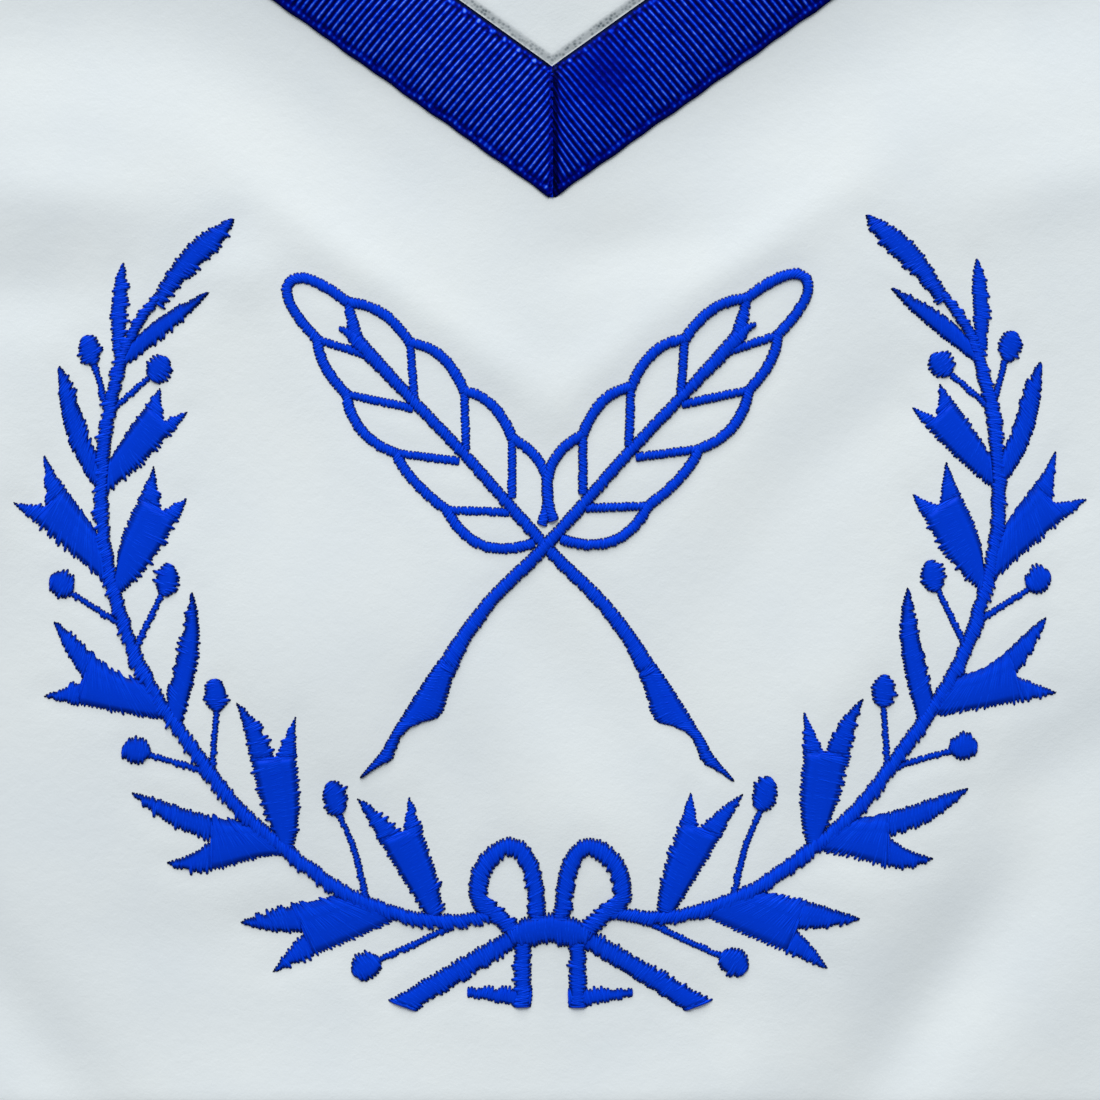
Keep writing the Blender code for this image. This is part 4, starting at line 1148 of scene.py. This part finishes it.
# %% The belt
BELT_WIDTH, BELT_THICKNESS, BELT_DROP = 25.0, 1.5, 17.0
BELT_TAB_END, BELT_TURN_START = 150.0, 205.0
BELT_TURN = (
    (0.0, 2.55), (9.0, 2.9), (16.0, 4.0), (21.0, 4.5), (24.2, 3.6),
    (24.4, 2.2), (21.6, 1.0), (16.0, 0.75), (9.0, 0.75), (0.0, 0.75),
)
CLASP_HALF, PICK_PITCH, PICK_HEIGHT = 23.0 + GAP, 1.7, 0.12
belt_middle = TOP - BELT_DROP
side_view = through([(BELT_TAB_END, BELT_TURN[0][1])]
                    + [(BELT_TURN_START + far, high) for far, high in BELT_TURN]
                    + [(CLASP_HALF, BELT_TURN[-1][1])])
run = np.concatenate([[0.0], np.cumsum(np.hypot(*np.diff(side_view, axis=0).T))])
belt_length = run[-1]
stations = np.arange(0, belt_length, PICK_PITCH / 2)
path = np.stack([np.interp(stations, run, side_view[:, k]) for k in (0, 1)], axis=-1)
ahead = np.gradient(path, axis=0)
normal = np.stack([-ahead[:, 1], ahead[:, 0]], axis=-1) / np.hypot(*ahead.T)[:, None]
swell = 1 - PICK_HEIGHT * (0.5 - 0.5 * np.cos(2 * math.pi * stations / PICK_PITCH))
edge_y = BELT_WIDTH / 2 - np.array([0.0, 0.3, 1.1, 4.5, 8.5])
edge_z = BELT_THICKNESS / 2 - np.array([0.5, 0.13, 0.0, 0.0, 0.0])
half_y = np.concatenate([-edge_y, [0.0], edge_y[::-1]])
half_z = np.concatenate([edge_z, [BELT_THICKNESS / 2], edge_z[::-1]])
for side_name, way in (("right", 1), ("left", -1)):
    section_y = np.concatenate([half_y, half_y[::-1]]) * way
    section_z = np.concatenate([half_z, -half_z[::-1]])
    lift = section_z * swell[:, None]
    rings = np.stack([(path[:, :1] + normal[:, :1] * lift) * way,
                      np.broadcast_to(belt_middle + section_y, lift.shape),
                      path[:, 1:] + normal[:, 1:] * lift], axis=-1)[None, :, ::-1]
    points, faces = closed_tubes(rings)
    belt = make_piece("belt_webbing_" + side_name, points, faces, [webbing])
    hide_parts("belt_" + side_name)
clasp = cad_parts["belt_clasp"]
clasp.data.materials.clear()
clasp.data.materials.append(nickel)
print("each half of the belt is", round(belt_length), "mm long")

# %% [markdown]
# The body lies on the belt, the flap on the body, and each ribbon on what it is sewn to. A mitre
# takes half a square of ribbon off each end that has one, and the flap's slanting ends take a
# little more.

# %% [markdown]
# The table is plain and pale. One large soft light stands beyond the waist edge, 30 degrees up,
# low enough for the folds to shade, and a pale sky fills the shadows. The standard view keeps
# the whites of the cloth as they are.

# %% Table, light and sky
paper, tree, place = new_finish(
    "matte table paper", {"Roughness": 0.85, "Specular IOR Level": 0.2})
fleck = add_node(tree, "ShaderNodeTexNoise", inputs={
    "Vector": place, "Scale": 1 / (2.5 * MM), "Detail": 4.0})
pulp = add_node(tree, "ShaderNodeValToRGB", inputs={"Fac": fleck.outputs["Fac"]})
pulp.color_ramp.elements[0].color = linear("#D9DBDD")
pulp.color_ramp.elements[1].color = linear("#E3E5E6")
show(tree, Base_Color=pulp.outputs["Color"])
TABLE_REACH, TABLE_BELOW = 3.0, 0.2 * MM
corners = [(-1, -1), (1, -1), (1, 1), (-1, 1)]
table_mesh = bpy.data.meshes.new("table")
table_mesh.from_pydata([(x * TABLE_REACH, y * TABLE_REACH, -TABLE_BELOW) for x, y in corners],
                       [], [(0, 1, 2, 3)])
table_mesh.materials.append(paper)
table = bpy.data.objects.new("table", table_mesh)
bpy.context.scene.collection.objects.link(table)

WINDOW_PLACE, WINDOW_SIZE, WINDOW_POWER = (-0.75, 6.2, 3.6), 6.5, 745.0
lamp = bpy.data.lights.new("window_light", "AREA")
lamp.shape, lamp.size, lamp.energy = "SQUARE", WINDOW_SIZE, WINDOW_POWER
window = bpy.data.objects.new("window_light", lamp)
window.location = WINDOW_PLACE
window.rotation_mode = "QUATERNION"
window.rotation_quaternion = window.location.to_track_quat("Z", "Y")
window.visible_camera = False
bpy.context.scene.collection.objects.link(window)
sky = bpy.data.worlds.new("pale sky")
sky.use_nodes = True
glow = sky.node_tree.nodes["Background"]
glow.inputs["Color"].default_value = linear("#EEF4FC")
glow.inputs["Strength"].default_value = 0.32
bpy.context.scene.world = sky
bpy.context.scene.view_settings.view_transform = "Standard"
print("lit by one window light and a pale sky")
